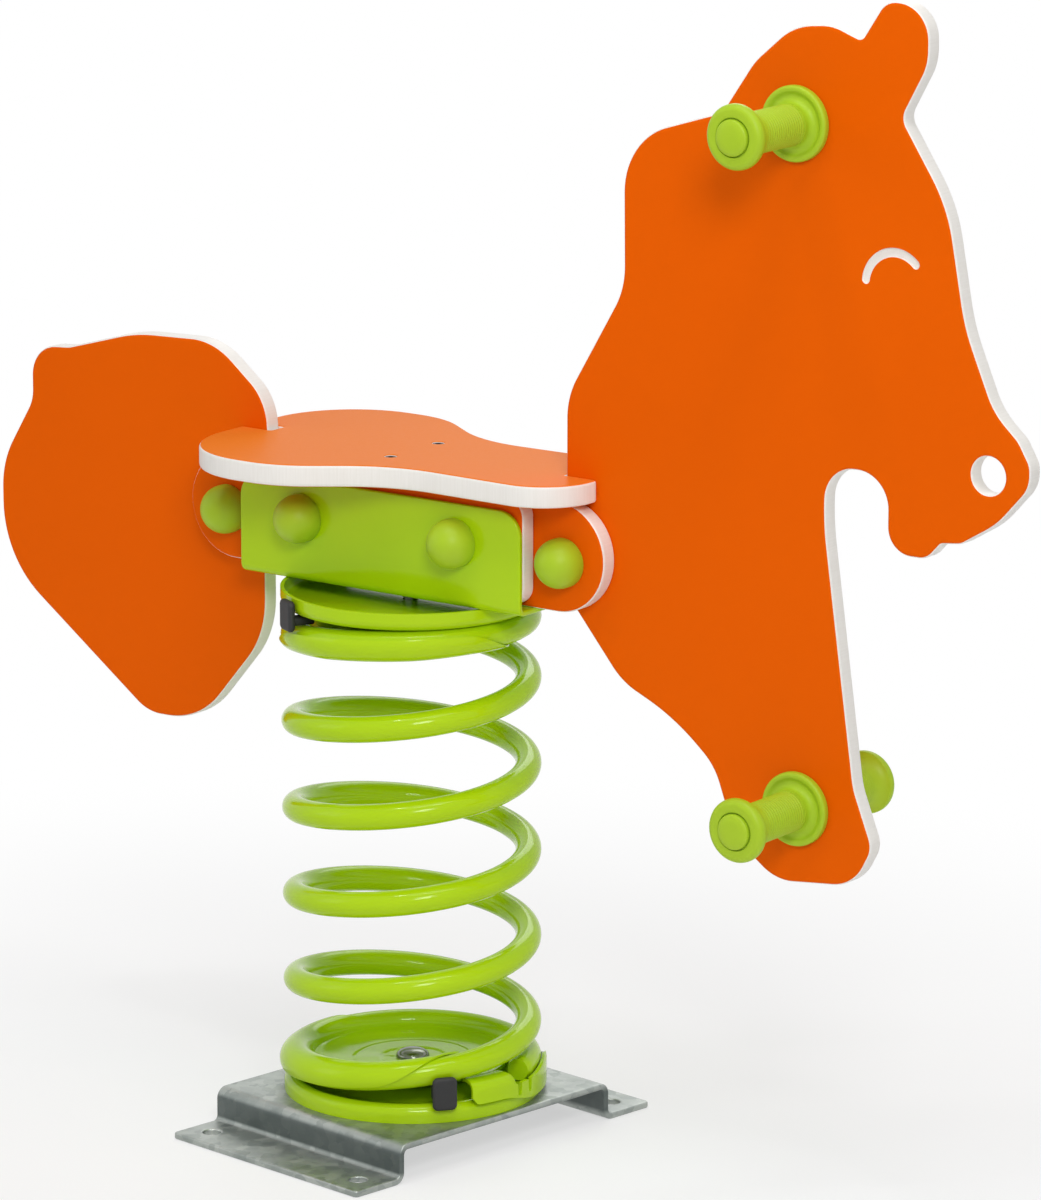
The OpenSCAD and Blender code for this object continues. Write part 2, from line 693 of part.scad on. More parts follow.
module bolt_nuts() {
    color(zinc) on_saddle() for (row = board_bolt_rows, x = [-1, 1])
        translate([x * row[0] / 2, row[2] + board_washer_t + board_nut_h, row[1]]) rotate([90, 0, 0])
            difference() {
                hex_bar(board_nut_w, board_nut_h);
                translate([0, 0, -1]) cylinder(d = board_bolt_d + 2 * fit, h = board_nut_h + 2);
            }
}

// Round plastic cover, hollow over the bolt's head or nut
module bolt_cap() {
    rise = cap_h - cap_wall;
    difference() {
        rotate_extrude() polygon(concat([[0, 0], [cap_d / 2, 0]],
            [for (b = [0:10:90]) [cap_d / 2 * cos(b), cap_wall + rise * sin(b)]]));
        translate([0, 0, -1]) cylinder(d = cap_bay_d, h = cap_bay_deep + 1);
    }
}

module cap_row(gap, h, half) {
    color(lime) on_saddle() for (x = [-1, 1], side = [0, 1])
        mirror([0, side, 0]) translate([x * gap / 2, -half, h]) rotate([90, 0, 0]) bolt_cap();
}

module bracket_caps() {
    cap_row(bracket_bolt_gap, bracket_bolt_h, bracket_out);
}

module link_caps() {
    cap_row(link_bolt_gap, link_bolt_h, spacer_y);
}

// Profile of a moulded grip from its axis outwards, along its length
function grip_profile() =
    let (rod = grip_rod_d / 2 + fit, shaft = grip_d / 2, first = flange_t, last = grip_len - end_flange_t)
    let (step = (last - first) / grip_ribs)
    concat(
        [[rod, 0], [grip_flange_d / 2 - 2, 0], [grip_flange_d / 2, 2], [grip_flange_d / 2 - 1, flange_t - 2],
            [grip_flange_d / 2 - 4, flange_t]],
        [for (k = [0:grip_ribs - 1]) each [
            [shaft - rib_deep, first + step * (k + 0.05)], [shaft, first + step * (k + 0.3)],
            [shaft, first + step * (k + 0.7)], [shaft - rib_deep, first + step * (k + 0.95)]]],
        [[grip_end_d / 2 - 3, last], [grip_end_d / 2, last + 3], [grip_end_d / 2, grip_len - 3],
            [grip_end_d / 2 - 3, grip_len], [pocket_d / 2, grip_len], [pocket_d / 2, grip_len - pocket_deep],
            [rod, grip_len - pocket_deep]]);

// Places a piece of a grip on the horse's right side or left side
module grip_side(at, side) {
    on_saddle() mirror([0, side > 0 ? 1 : 0, 0]) translate([at[0], -panel_t / 2, at[1]]) rotate([90, 0, 0])
        children();
}

module grip(at, side) {
    color(lime) grip_side(at, side) rotate_extrude() polygon(grip_profile());
}

// Domed plug that closes the pocket in a grip's end
module grip_caps(at) {
    color(lime) for (side = [-1, 1]) grip_side(at, side) translate([0, 0, grip_len]) rotate_extrude()
        polygon(concat([[0, -2], [pocket_d / 2 - fit, -2], [pocket_d / 2 - fit, 0], [grip_cap_d / 2, 0]],
            [for (b = [0:10:90]) [grip_cap_d / 2 * cos(b), 1 + (grip_cap_h - 1) * sin(b)]]));
}

// Rod through the panel and both of its grips, with a nut in each grip's pocket
module grip_rod(at) {
    reach = panel_t / 2 + grip_len - 3;
    color(zinc) on_saddle() cross_bar(at, -reach, reach, grip_rod_d);
}

module grip_nuts(at) {
    color(zinc) for (side = [-1, 1])
        grip_side(at, side) translate([0, 0, grip_len - pocket_deep]) difference() {
            hex_bar(1.5 * grip_rod_d, nut_h);
            translate([0, 0, -1]) cylinder(d = grip_rod_d + 2 * fit, h = nut_h + 2);
        }
}

base_plate();
lower_clamp_plate();
lower_clamp_dish();
lower_pinch_block();
lower_clamp_bolt();
lower_clamp_washer();
lower_clamp_nut();
spring();
upper_clamp_plate();
upper_clamp_dish();
upper_pinch_block();
upper_clamp_bolt();
upper_clamp_washer();
upper_clamp_nut();
saddle_bracket();
spacer_board(-1);  // spacer_board_right
spacer_board(1);  // spacer_board_left
link_board(-1);  // link_board_right
link_board(1);  // link_board_left
head_panel();
tail_panel();
seat_board();
seat_screws();
bracket_bolts();
link_bolts();
bolt_washers();
bolt_nuts();
bracket_caps();
link_caps();
grip_rod(handle_at);  // handle_rod
grip_nuts(handle_at);  // handle_nuts
grip(handle_at, -1);  // handle_grip_right
grip(handle_at, 1);  // handle_grip_left
grip_caps(handle_at);  // handle_caps
grip_rod(footrest_at);  // footrest_rod
grip_nuts(footrest_at);  // footrest_nuts
grip(footrest_at, -1);  // footrest_grip_right
grip(footrest_at, 1);  // footrest_grip_left
grip_caps(footrest_at);  // footrest_caps
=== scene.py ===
# %% [markdown]
# # A horse on a spring, dressed from its CAD frame
# The CAD model gives every part its place, its size and the body that it moves with. This lesson puts the
# visible surfaces over that frame: routed boards with a white core, coated steel, a galvanised plate and
# moulded grips. Lengths are written in millimetres, as on a workshop drawing, and `make_piece` turns them
# into Blender's metres.

# %% Load the frame
import bmesh
import bpy
import numpy as np
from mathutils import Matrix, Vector
from mathutils.geometry import delaunay_2d_cdt


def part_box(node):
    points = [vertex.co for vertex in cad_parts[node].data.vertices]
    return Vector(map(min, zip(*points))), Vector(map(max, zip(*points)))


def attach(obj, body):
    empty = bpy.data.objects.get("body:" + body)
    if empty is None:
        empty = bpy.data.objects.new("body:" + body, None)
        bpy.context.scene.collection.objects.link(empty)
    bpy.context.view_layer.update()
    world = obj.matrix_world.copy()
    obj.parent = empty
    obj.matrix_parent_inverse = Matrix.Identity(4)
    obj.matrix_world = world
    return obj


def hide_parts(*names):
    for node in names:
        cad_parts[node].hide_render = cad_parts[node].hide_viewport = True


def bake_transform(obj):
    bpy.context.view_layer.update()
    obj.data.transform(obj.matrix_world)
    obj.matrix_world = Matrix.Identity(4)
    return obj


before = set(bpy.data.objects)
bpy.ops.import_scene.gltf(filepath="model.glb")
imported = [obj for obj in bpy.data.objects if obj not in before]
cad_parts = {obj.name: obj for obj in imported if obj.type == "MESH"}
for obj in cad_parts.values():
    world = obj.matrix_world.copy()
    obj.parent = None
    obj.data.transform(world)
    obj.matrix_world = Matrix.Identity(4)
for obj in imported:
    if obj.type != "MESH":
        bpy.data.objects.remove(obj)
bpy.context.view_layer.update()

# %% [markdown]
# ## From arrays to meshes
# A surface is a function P(u, v). Worked out on a grid it is an array of rows and columns, and each quad
# joins four neighbours. One piece is often made of several such shells that share a line, for example a
# board's edge and its two faces. Blender can merge the shared points and turn all faces outwards, which is
# safer than keeping count of directions by hand.

# %% Grids and pieces
MM = 0.001
MERGE = 1e-6
SHARP = 35


def joined(*parts):
    """Coordinates side by side as points, along a last axis, after they are spread to one shape."""
    return np.stack(np.broadcast_arrays(*parts), axis=-1)


def grid(points, wrap_rows=False, wrap_columns=False, finish=0):
    """Quads over P(u, v), an array [u, v, xyz]. Each quad joins a point to its next ones along u and v,
    and a wrapped direction joins its last line to its first. finish is a number, or one for each row."""
    number = np.arange(points.shape[0] * points.shape[1]).reshape(points.shape[:2])
    if wrap_rows:
        number = np.vstack([number, number[:1]])
    if wrap_columns:
        number = np.hstack([number, number[:, :1]])
    quads = joined(number[:-1, :-1], number[1:, :-1], number[1:, 1:], number[:-1, 1:])
    finishes = np.broadcast_to(np.reshape(finish, (-1, 1)), quads.shape[:2])
    return points.reshape(-1, 3), quads.reshape(-1, 4), finishes.ravel()


def put(name, data):
    """A new object with that name and data, in the scene, at the origin."""
    made = bpy.data.objects.new(name, data)
    bpy.context.collection.objects.link(made)
    return made


def make_piece(name, shells, body, slot, finishes, nodes):
    """One mesh from its shells of points, faces and finish numbers. Points of two shells that coincide
    are merged, faces turn outwards, and edges that bend more than SHARP degrees stay sharp."""
    starts = np.cumsum([0] + [len(points) for points, _, _ in shells])
    faces = [face for shell, start in zip(shells, starts) for face in (shell[1] + start).tolist()]
    mesh = bpy.data.meshes.new(name)
    mesh.from_pydata(np.vstack([shell[0] for shell in shells]) * MM, [], faces)
    mesh.polygons.foreach_set("material_index", np.concatenate([shell[2] for shell in shells]))
    work = bmesh.new()
    work.from_mesh(mesh)
    bmesh.ops.remove_doubles(work, verts=work.verts, dist=MERGE)
    bmesh.ops.recalc_face_normals(work, faces=work.faces)
    open_edges = sum(not edge.is_manifold for edge in work.edges)
    work.to_mesh(mesh)
    work.free()
    mesh.shade_smooth()
    mesh.set_sharp_from_angle(angle=np.radians(SHARP))
    for finish in finishes:
        mesh.materials.append(finish)
    piece = put(name, mesh)
    if body:
        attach(piece, body)
    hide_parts(*nodes)
    print(f"{name}: {len(mesh.polygons)} faces, {open_edges} open edges")
    return piece


# %% [markdown]
# ## Colours and nodes
# Colours are written as they look on a screen, in sRGB. A shader counts in linear light, so one function
# converts them. One more small function adds a shader node: it takes the node's own settings and the values
# or links of its inputs. Most finishes here need the same two things, a tone that wanders between two colours
# and a grain that stands out a little. Each is a noise with one node after it, so both pairs are written once.

# %% Colour and node helpers
MIX_A, MIX_B, MIXED = 6, 7, 2  # sockets of a Mix node for colours: its inputs A and B, and its output


def linear(colour):
    """sRGB hex to linear RGBA: the straight foot of the curve below 0.04045, its power law above."""
    srgb = np.array([int(colour[i:i + 2], 16) for i in (1, 3, 5)]) / 255
    return (*np.where(srgb <= 0.04045, srgb / 12.92, ((srgb + 0.055) / 1.055) ** 2.4), 1)


def fill(tree, node, inputs):
    """Fills a node's inputs: a socket is linked, a value is set."""
    for name, value in inputs.items():
        if isinstance(value, bpy.types.NodeSocket):
            tree.links.new(value, node.inputs[name])
        else:
            node.inputs[name].default_value = value


def add(tree, kind, inputs, **settings):
    """Adds a node, gives it its settings, fills its inputs and gives back its outputs."""
    node = tree.nodes.new("ShaderNode" + kind)
    for name, value in settings.items():
        setattr(node, name, value)
    fill(tree, node, inputs)
    return node.outputs


def start_material(name):
    """A new material with its node tree, its shader and the Object coordinates, which are metres here."""
    material = bpy.data.materials.new(name)
    material.use_nodes = True
    tree = material.node_tree
    return material, tree, tree.nodes["Principled BSDF"], add(tree, "TexCoord", {})["Object"]


def per_mm(size):
    """Scale of a pattern whose features are `size` millimetres across, in Object coordinates."""
    return 1 / (size * MM)


def mottled(tree, place, size, detail, pale, deep):
    """A noise of that size in mm, and the colour that goes from pale to deep with it, as two sockets."""
    noise = add(tree, "TexNoise", {"Vector": place, "Scale": per_mm(size), "Detail": detail})
    tone = add(tree, "Mix", {0: noise["Fac"], MIX_A: linear(pale), MIX_B: linear(deep)}, data_type="RGBA")
    return noise["Fac"], tone[MIXED]


def grained(tree, place, size, detail, strength, depth):
    """A noise of that size in mm, and the bump that it raises, depth in mm, as two sockets."""
    noise = add(tree, "TexNoise", {"Vector": place, "Scale": per_mm(size), "Detail": detail})
    bump = add(tree, "Bump", {"Height": noise["Fac"], "Strength": strength, "Distance": depth * MM})
    return noise["Fac"], bump[0]


# %% [markdown]
# ## Powder coat on steel
# The spring, the clamps and the bracket are steel, sprayed with a plastic powder that melts in an oven. The
# melt keeps a faint orange-peel ripple of 2 or 3 mm, and that ripple is what breaks up its reflections. The
# film is slightly thinner on some stretches, so its tone drifts a little.

# %% Lime powder coat
LIME, LIME_DEEP = "#B6DA12", "#AAD008"

powder_coat, tree, shader, place = start_material("powder_coat_lime")
drift, tone = mottled(tree, place, size=90, detail=2, pale=LIME, deep=LIME_DEEP)
_, ripple = grained(tree, place, size=3, detail=1, strength=0.12, depth=0.4)
gloss = add(tree, "MapRange", {"Value": drift, "To Min": 0.09, "To Max": 0.15})
fill(tree, shader, {"Base Color": tone, "Roughness": gloss[0], "Normal": ripple,
    "IOR": 1.5, "Specular IOR Level": 0.2})
print("powder coat: peel 3 mm, roughness 0.09 to 0.15")

# %% [markdown]
# ## Moulded plastic
# Grips and bolt covers are injection-moulded polypropylene. The mould is spark-eroded, so the surface is
# duller than the coated steel, with a fine even grain. The real grain is about 0.3 mm; it is drawn at 0.9 mm
# so that it shows at all.

# %% Lime moulded plastic
PLASTIC_LIME, PLASTIC_LIME_DEEP = "#ADCC2A", "#A2C220"

moulded_plastic, tree, shader, place = start_material("moulded_polypropylene_lime")
_, tone = mottled(tree, place, size=40, detail=2, pale=PLASTIC_LIME, deep=PLASTIC_LIME_DEEP)
grain, relief = grained(tree, place, size=0.9, detail=2, strength=0.2, depth=0.15)
gloss = add(tree, "MapRange", {"Value": grain, "To Min": 0.38, "To Max": 0.5})
fill(tree, shader, {"Base Color": tone, "Roughness": gloss[0], "Normal": relief, "Specular IOR Level": 0.28})
print("moulded plastic: grain 0.9 mm")

# %% [markdown]
# ## The board's two plastics
# The boards are high-density polyethylene in three layers, pressed together hot: an orange skin on each face
# and a white core. The skins have a fine leather-like grain from the press plates. The seat's grain is coarser,
# so that nobody slides off, and its orange is painted paler and more yellow: a painted sheen of the light on
# its flat top. The core only shows where a router has cut through, and the cutter leaves faint marks across
# the board's thickness. A noise that is stretched along the thickness draws those marks, so the core needs to
# know which way its board lies.

# %% Orange skin, for the panels and for the seat
ORANGE, ORANGE_DEEP = "#ED6100", "#E55C00"
# the seat's two oranges are painted paler than the panels': a painted sheen of the light on its flat top
SEAT_ORANGE_PAINTED_SHEEN, SEAT_ORANGE_DEEP_PAINTED_SHEEN = "#EC7F2B", "#E67A25"


def skin(name, colour, deep, grain_size):
    """Skin plastic whose tone drifts between two oranges, with a grain of that size in mm."""
    material, tree, shader, place = start_material(name)
    _, tone = mottled(tree, place, size=220, detail=2, pale=colour, deep=deep)
    grain, relief = grained(tree, place, grain_size, detail=3, strength=0.25, depth=0.1 * grain_size)
    gloss = add(tree, "MapRange", {"Value": grain, "To Min": 0.34, "To Max": 0.46})
    fill(tree, shader, {"Base Color": tone, "Roughness": gloss[0], "Normal": relief,
        "IOR": 1.53, "Specular IOR Level": 0.03})
    return material


orange_skin = skin("polyethylene_skin_orange", ORANGE, ORANGE_DEEP, 1.5)
seat_skin_painted_sheen = skin("polyethylene_skin_orange_seat_painted_sheen", SEAT_ORANGE_PAINTED_SHEEN, SEAT_ORANGE_DEEP_PAINTED_SHEEN, 2)
print("orange skin: grain 1.5 mm, on the seat 2 mm")

# %% White core, for boards that stand and for the seat that lies
CORE, CORE_DULL = "#F3F0EB", "#E8E4DD"
DRAWN_OUT = 0.05


def white_core(name, stretch):
    """Core plastic whose cutter marks, 1.2 mm apart, are drawn out along one axis by the stretch."""
    material, tree, shader, place = start_material(name)
    drawn = add(tree, "Mapping", {"Vector": place, "Scale": stretch})
    marks, tone = mottled(tree, drawn[0], size=1.2, detail=2, pale=CORE, deep=CORE_DULL)
    relief = add(tree, "Bump", {"Height": marks, "Strength": 0.3, "Distance": 0.1 * MM})
    fill(tree, shader, {"Base Color": tone, "Normal": relief[0], "Roughness": 0.5, "IOR": 1.53})
    return material


core_standing = white_core("polyethylene_core_white_standing", (1, DRAWN_OUT, 1))
core_lying = white_core("polyethylene_core_white_lying", (1, 1, DRAWN_OUT))
print("white core: cutter marks 1.2 mm apart")

# %% [markdown]
# ## Galvanised and plated steel, and rubber
# The base plate was dipped in molten zinc. As the zinc sets it crystallises into flat grains, the spangle,
# and each grain reflects a little differently. Voronoi cells of about 9 mm, one grey for each cell, give that
# look, and a broader noise of 35 mm dulls them in patches, as weather does. The upright webs are painted
# darker, a painted shade and a painted dark reflection of the floor: that band is found by its height. Bolts
# and nuts have a thin electroplated zinc instead, which is shinier and has no spangle; its colour is painted
# darker too, as painted shade and painted dark reflections round a bolt in its dish. The pinch blocks are
# moulded black rubber.

# %% Galvanised steel
ZINC_LIGHT, ZINC_DARK, ZINC_WEB_SHADE = "#AEB3AE", "#6E7875", "#3C4646"
VECTOR_A, VECTOR_B, VECTOR_MIXED = 4, 5, 1  # the same sockets of a Mix node for vectors
WARP, GREY_SHARE, WEB_SHADE_SHARE = 0.006, 0.45, 0.75
WEB_FOOT, WEB_HEAD = (5 * MM, 9 * MM), (29 * MM, 24 * MM)

galvanised, tree, shader, place = start_material("galvanised_steel_spangle")
warp = add(tree, "TexNoise", {"Vector": place, "Scale": per_mm(6), "Detail": 3})
bent = add(tree, "Mix", {0: WARP, VECTOR_A: place, VECTOR_B: warp["Color"]}, data_type="VECTOR")
grains = add(tree, "TexVoronoi", {"Vector": bent[VECTOR_MIXED], "Scale": per_mm(9)})
grain_grey = add(tree, "SeparateColor", {"Color": grains["Color"]})
dull = add(tree, "TexNoise", {"Vector": place, "Scale": per_mm(35), "Detail": 5, "Roughness": 0.7})
shade = add(tree, "Math", {0: grain_grey[0], 1: GREY_SHARE, 2: dull["Fac"]}, operation="MULTIPLY_ADD")
tone = add(tree, "Mix", {0: shade[0], MIX_A: linear(ZINC_DARK), MIX_B: linear(ZINC_LIGHT)}, data_type="RGBA")
gloss = add(tree, "MapRange", {"Value": grain_grey[1], "To Min": 0.34, "To Max": 0.5})
# painted shade: the webs' band, found by height, is mixed towards a dark grey that stands for shade and a dark
# reflection of the floor
height = add(tree, "SeparateXYZ", {"Vector": place})["Z"]
foot = add(tree, "MapRange", {
    "Value": height, "From Min": WEB_FOOT[0], "From Max": WEB_FOOT[1], "To Max": WEB_SHADE_SHARE})
head = add(tree, "MapRange", {"Value": height, "From Min": WEB_HEAD[0], "From Max": WEB_HEAD[1]})
web_shade_mask = add(tree, "Math", {0: foot[0], 1: head[0]}, operation="MULTIPLY")
web_shaded_tone = add(tree, "Mix", {0: web_shade_mask[0], MIX_A: tone[MIXED], MIX_B: linear(ZINC_WEB_SHADE)}, data_type="RGBA")
relief = add(tree, "Bump", {"Height": shade[0], "Strength": 0.15, "Distance": 0.3 * MM})
fill(tree, shader, {"Base Color": web_shaded_tone[MIXED], "Roughness": gloss[0], "Normal": relief[0], "Metallic": 0.85})
print("galvanised steel: spangle 9 mm")

# %% Plated fasteners and rubber
# the plating's two colours are painted darker than bare zinc plating: painted shade and painted dark
# reflections of a bolt in its dish
PLATED_SHADED, PLATED_DULL_SHADED = "#8E9186", "#5C6056"
RUBBER, RUBBER_WORN = "#2B2B2C", "#1C1C1D"

zinc_plated_shaded, tree, shader, place = start_material("zinc_plated_steel_shaded")
haze, tone = mottled(tree, place, size=4, detail=4, pale=PLATED_SHADED, deep=PLATED_DULL_SHADED)
gloss = add(tree, "MapRange", {"Value": haze, "To Min": 0.14, "To Max": 0.28})
fill(tree, shader, {"Base Color": tone, "Roughness": gloss[0], "Metallic": 1})

black_rubber, tree, shader, place = start_material("moulded_rubber_black")
grit, tone = mottled(tree, place, size=0.8, detail=3, pale=RUBBER, deep=RUBBER_WORN)
relief = add(tree, "Bump", {"Height": grit, "Strength": 0.3, "Distance": 0.1 * MM})
fill(tree, shader, {"Base Color": tone, "Normal": relief[0], "Roughness": 0.62})
print("plated steel: haze 4 mm, rubber: grit 0.8 mm")

# %% [markdown]
# ## Outlines with round corners
# Every board is drawn as a list of corners, each with a radius, the way a workshop drawing gives them. A
# corner turns into an arc that touches both of its sides. The heading along the arc changes evenly, so the
# outward normal is known exactly at every point, and moving a point along it gives an exact inset.

# %% Corner arcs
ARC_STEPS = 14
HOLE_STEPS = 48
SAME_POINT = 1e-4


def unit(angle):
    """The direction (cos a, sin a) for each angle, in radians."""
    return joined(np.cos(angle), np.sin(angle))


def arcs(corners, closed=True):
    """Points and outward normals of an outline. At a corner the heading turns by t in all. The arc starts
    r tan(t / 2) before the corner, and its centre lies r to the inner side of that start. Corners on a
    straight line, and the two ends of an open line, stay single points."""
    corners = np.array(corners, float)
    place, radius = corners[:, :2], corners[:, 2]
    before = place - np.roll(place, 1, axis=0)
    after = np.roll(before, -1, axis=0)
    first = np.arctan2(before[:, 1], before[:, 0])
    turn = (np.arctan2(after[:, 1], after[:, 0]) - first + np.pi) % (2 * np.pi) - np.pi
    if not closed:
        turn[[0, -1]] = 0
    run = before / np.linalg.norm(before, axis=1, keepdims=True)
    start = place - run * (radius * np.tan(np.abs(turn) / 2))[:, None]
    heading = first[:, None] + turn[:, None] * np.linspace(0, 1, ARC_STEPS + 1)
    normal = joined(np.sin(heading), -np.cos(heading))
    reach = (np.sign(turn) * radius)[:, None, None]
    points = (start[:, None] - reach * normal[:, :1] + reach * normal).reshape(-1, 2)
    kept = np.linalg.norm(points - np.roll(points, -1, axis=0), axis=1) > SAME_POINT
    if not closed:
        kept[-1] = True
    return points[kept], normal.reshape(-1, 2)[kept]


def counter_clockwise(corners):
    """The same corners, in the direction in which the outline's right-hand side is its outside."""
    x, y = np.array(corners, float).T[:2]
    area = np.sum(x * np.roll(y, -1) - y * np.roll(x, -1))
    return corners if area > 0 else corners[::-1]


def round_hole(at, diameter):
    """A circle run clockwise, so that its normals point into the hole, away from the board."""
    out = unit(np.linspace(0, -2 * np.pi, HOLE_STEPS, endpoint=False))
    return np.array(at) + out * diameter / 2, -out


# %% [markdown]
# ## Routed boards
# A board is cut from a flat sheet: its edge is one strip that runs round the outline, and its faces fill what
# is left. The strip's cross-section is a list of insets and depths: a narrow flat band, a round where the
# cutter broke the edge, the core, and the same again on the other side. The skin is thin, so the round has cut
# through it and is white too. The band keeps the face's shading flat up to the round. A triangulation that
# respects the outline and its holes fills the face. Sheet steel uses the same strip with a smaller round.

# %% Boards from outlines
SKIN = 0.6
SKIN_STRIPS, CORE_STRIPS = 3, 4
BOARD_EDGE = (2.5, 3.6)
SHEET_EDGE = (1.3, 2.6)
GROOVE_BAND = 0.8
ON_LINE, TINY = 1e-6, 1e-7


def routed_profile(thickness, edge):
    """Insets and depths across an edge (round, band). The round is a quarter circle from the face to the
    edge, and the core starts on it, SKIN deep. Also gives each strip's finish number, 1 for the core."""
    round_r, band = edge
    half = thickness / 2
    cut = np.arccos(1 - SKIN / round_r)
    quarter = np.concatenate([
        np.linspace(0, cut, SKIN_STRIPS), np.linspace(cut, np.pi / 2, CORE_STRIPS + 1)[1:]])
    side = np.column_stack([round_r * (1 - np.sin(quarter)), half - round_r * (1 - np.cos(quarter))])
    side = np.vstack([[[band, half]], side])
    finish = np.zeros(2 * len(side) - 1, int)
    finish[SKIN_STRIPS:-SKIN_STRIPS] = 1
    return np.vstack([side, side[::-1] * [1, -1]]), finish


def strip(loop, profile, finish, place):
    """The surface P(u, v) = outline(v) - inset(u) * normal(v), at depth(u)."""
    flat = loop[0] - profile[:, None, :1] * loop[1]
    return grid(place(flat, profile[:, 1:]), wrap_columns=True, finish=finish)


def inside(points, loops):
    """True where a line from the point to the right crosses the loops an odd number of times."""
    start = np.vstack(loops)
    run = np.vstack([np.roll(loop, -1, axis=0) for loop in loops]) - start
    rise = np.where(run[:, 1] == 0, 1, run[:, 1])
    x, y = points[:, :1], points[:, 1:]
    spans = (start[:, 1] > y) != (start[:, 1] + run[:, 1] > y)
    return (spans & (x < start[:, 0] + (y - start[:, 1]) * run[:, 0] / rise)).sum(axis=1) % 2 == 1


def flat_face(loops, depth, place, finish=0, fold_lines=()):
    """Triangles between an outer loop and its holes, at one depth. Each fold line is one more edge that
    the triangles keep, between the two outline points that lie on it."""
    points = np.vstack(loops)
    ends = np.cumsum([len(loop) for loop in loops])
    after = np.arange(len(points)) + 1
    after[ends - 1] = np.concatenate([[0], ends[:-1]])
    edges = np.column_stack([np.arange(len(points)), after]).tolist()
    edges += [np.flatnonzero(np.abs(loops[0][:, 0] - line) < ON_LINE).tolist() for line in fold_lines]
    filled = delaunay_2d_cdt([Vector(p) for p in points], edges, [], 0, TINY)
    flat = np.array([p[:] for p in filled[0]])
    triangles = np.array(filled[2])
    triangles = triangles[inside(flat[triangles].mean(axis=1), loops)]
    return place(flat, depth), triangles, np.full(len(triangles), finish)


def board(loops, thickness, place, edge=BOARD_EDGE, hole_edge=None, grooves=(), fold_lines=()):
    """All shells of a board: a strip round the outline and round each hole, and two filled faces, which
    leave the mouths of grooves open."""
    edges = [edge] + [hole_edge or edge] * (len(loops) - 1)
    shells = [strip(loop, *routed_profile(thickness, e), place) for loop, e in zip(loops, edges)]
    rims = [points - band * normals for (points, normals), (_, band) in zip(loops, edges)]
    mouths = [points - GROOVE_BAND * normals for points, normals in grooves]
    for side in (-1, 1):
        shells.append(flat_face(rims + mouths, side * thickness / 2, place, 0, fold_lines))
    return shells


# %% [markdown]
# ## Head and tail
# The horse's head, neck and front leg are one board, and its hind quarters and tail are another. The corner
# lists are the drawing of the horse, the same that the CAD part is cut from, in millimetres from the spring's
# axis and from the underside of the bracket.

# %% Panel outlines
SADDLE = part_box("saddle_bracket")[0].z / MM
PANEL_T = (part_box("head_panel")[1].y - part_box("head_panel")[0].y) / MM
HEAD = [
    [429, 485, 17], [466, 485, 26], [466, 442, 40], [444, 402, 12], [484, 342, 120], [500, 257, 150],
    [525, 199, 60], [546, 180, 26], [556, 163, 16], [556, 147, 24], [529, 117, 70], [499, 99, 16],
    [482, 97, 5], [470, 84, 16], [436, 84, 20], [436, 142, 26], [383, 142, 25], [382, 99, 200],
    [410, -96, 60], [427, -139, 18], [411, -170, 34], [342, -177, 40], [305, -150, 20], [286, -98, 50],
    [250, -67, 180], [202, -46, 60], [155, 10, 6], [42, 10, 10], [42, 86, 10], [151, 86, 2],
    [151, 166, 60], [203, 253, 60], [202, 365, 54], [289, 392, 25], [317, 432, 60], [351, 461, 50],
    [384, 464, 40], [409, 455, 5],
]
TAIL = [
    [-370, 101, 30], [-370, 145, 26], [-331, 148, 30], [-263, 167, 150], [-185, 170, 60], [-134, 129, 45],
    [-131, 86, 2], [-42, 86, 10], [-42, 10, 10], [-136, 10, 2], [-136, -58, 75], [-203, -137, 70],
    [-256, -138, 40], [-403, -31, 90], [-403, 47, 75],
]
BRACKET_BOLT = (73, 50)
LINK_BOLT = (159.5, 43)
BOLT_HOLE = 11
HANDLE = (355, 390.5)
FOOTREST = (361, -118)
ROD_HOLE = 13


def standing(flat, depth):
    """A drawing point (x, height) and a depth across the horse, to x, y, z."""
    return joined(flat[..., 0], depth, flat[..., 1] + SADDLE)


print("panel thickness", round(PANEL_T, 2), "mm, bracket underside at", round(SADDLE, 1), "mm")

# %% [markdown]
# The closed eye is a groove of almost 7 mm, routed through the skin until the white core shows. It is cut on
# both faces, and its edge is broken as the outline's is, only less. The nostril is a plain hole.

# %% Eye groove
EYE_AT = np.array([440, 280])
EYE_R = 25
EYE_TURN = (46, 173)
EYE_W = 6.8
GROOVE_DEEP = 2.2
GROOVE_LIP = 0.2
GROOVE_ROUND, ROUND_POINT = 0.8, (0.25, 0.2)
NOSTRIL = ((521, 152), 28)


def eye_loop():
    """Outline of the groove, run clockwise: the outer arc backwards, a half circle, the inner arc, and a
    half circle. Normals point into the groove."""
    along = np.radians(np.linspace(EYE_TURN[1], EYE_TURN[0], 40))
    cap = np.radians(np.linspace(0, -180, ARC_STEPS)[1:-1])
    arc, tip, heel = unit(along), unit(along[-1] + cap), -unit(along[0] + cap)
    half = EYE_W / 2
    points = np.vstack([EYE_AT + (EYE_R + half) * arc, EYE_AT + EYE_R * arc[-1] + half * tip,
        EYE_AT + (EYE_R - half) * arc[::-1], EYE_AT + EYE_R * arc[0] + half * heel])
    return points, -np.vstack([arc, tip, -arc[::-1], heel])


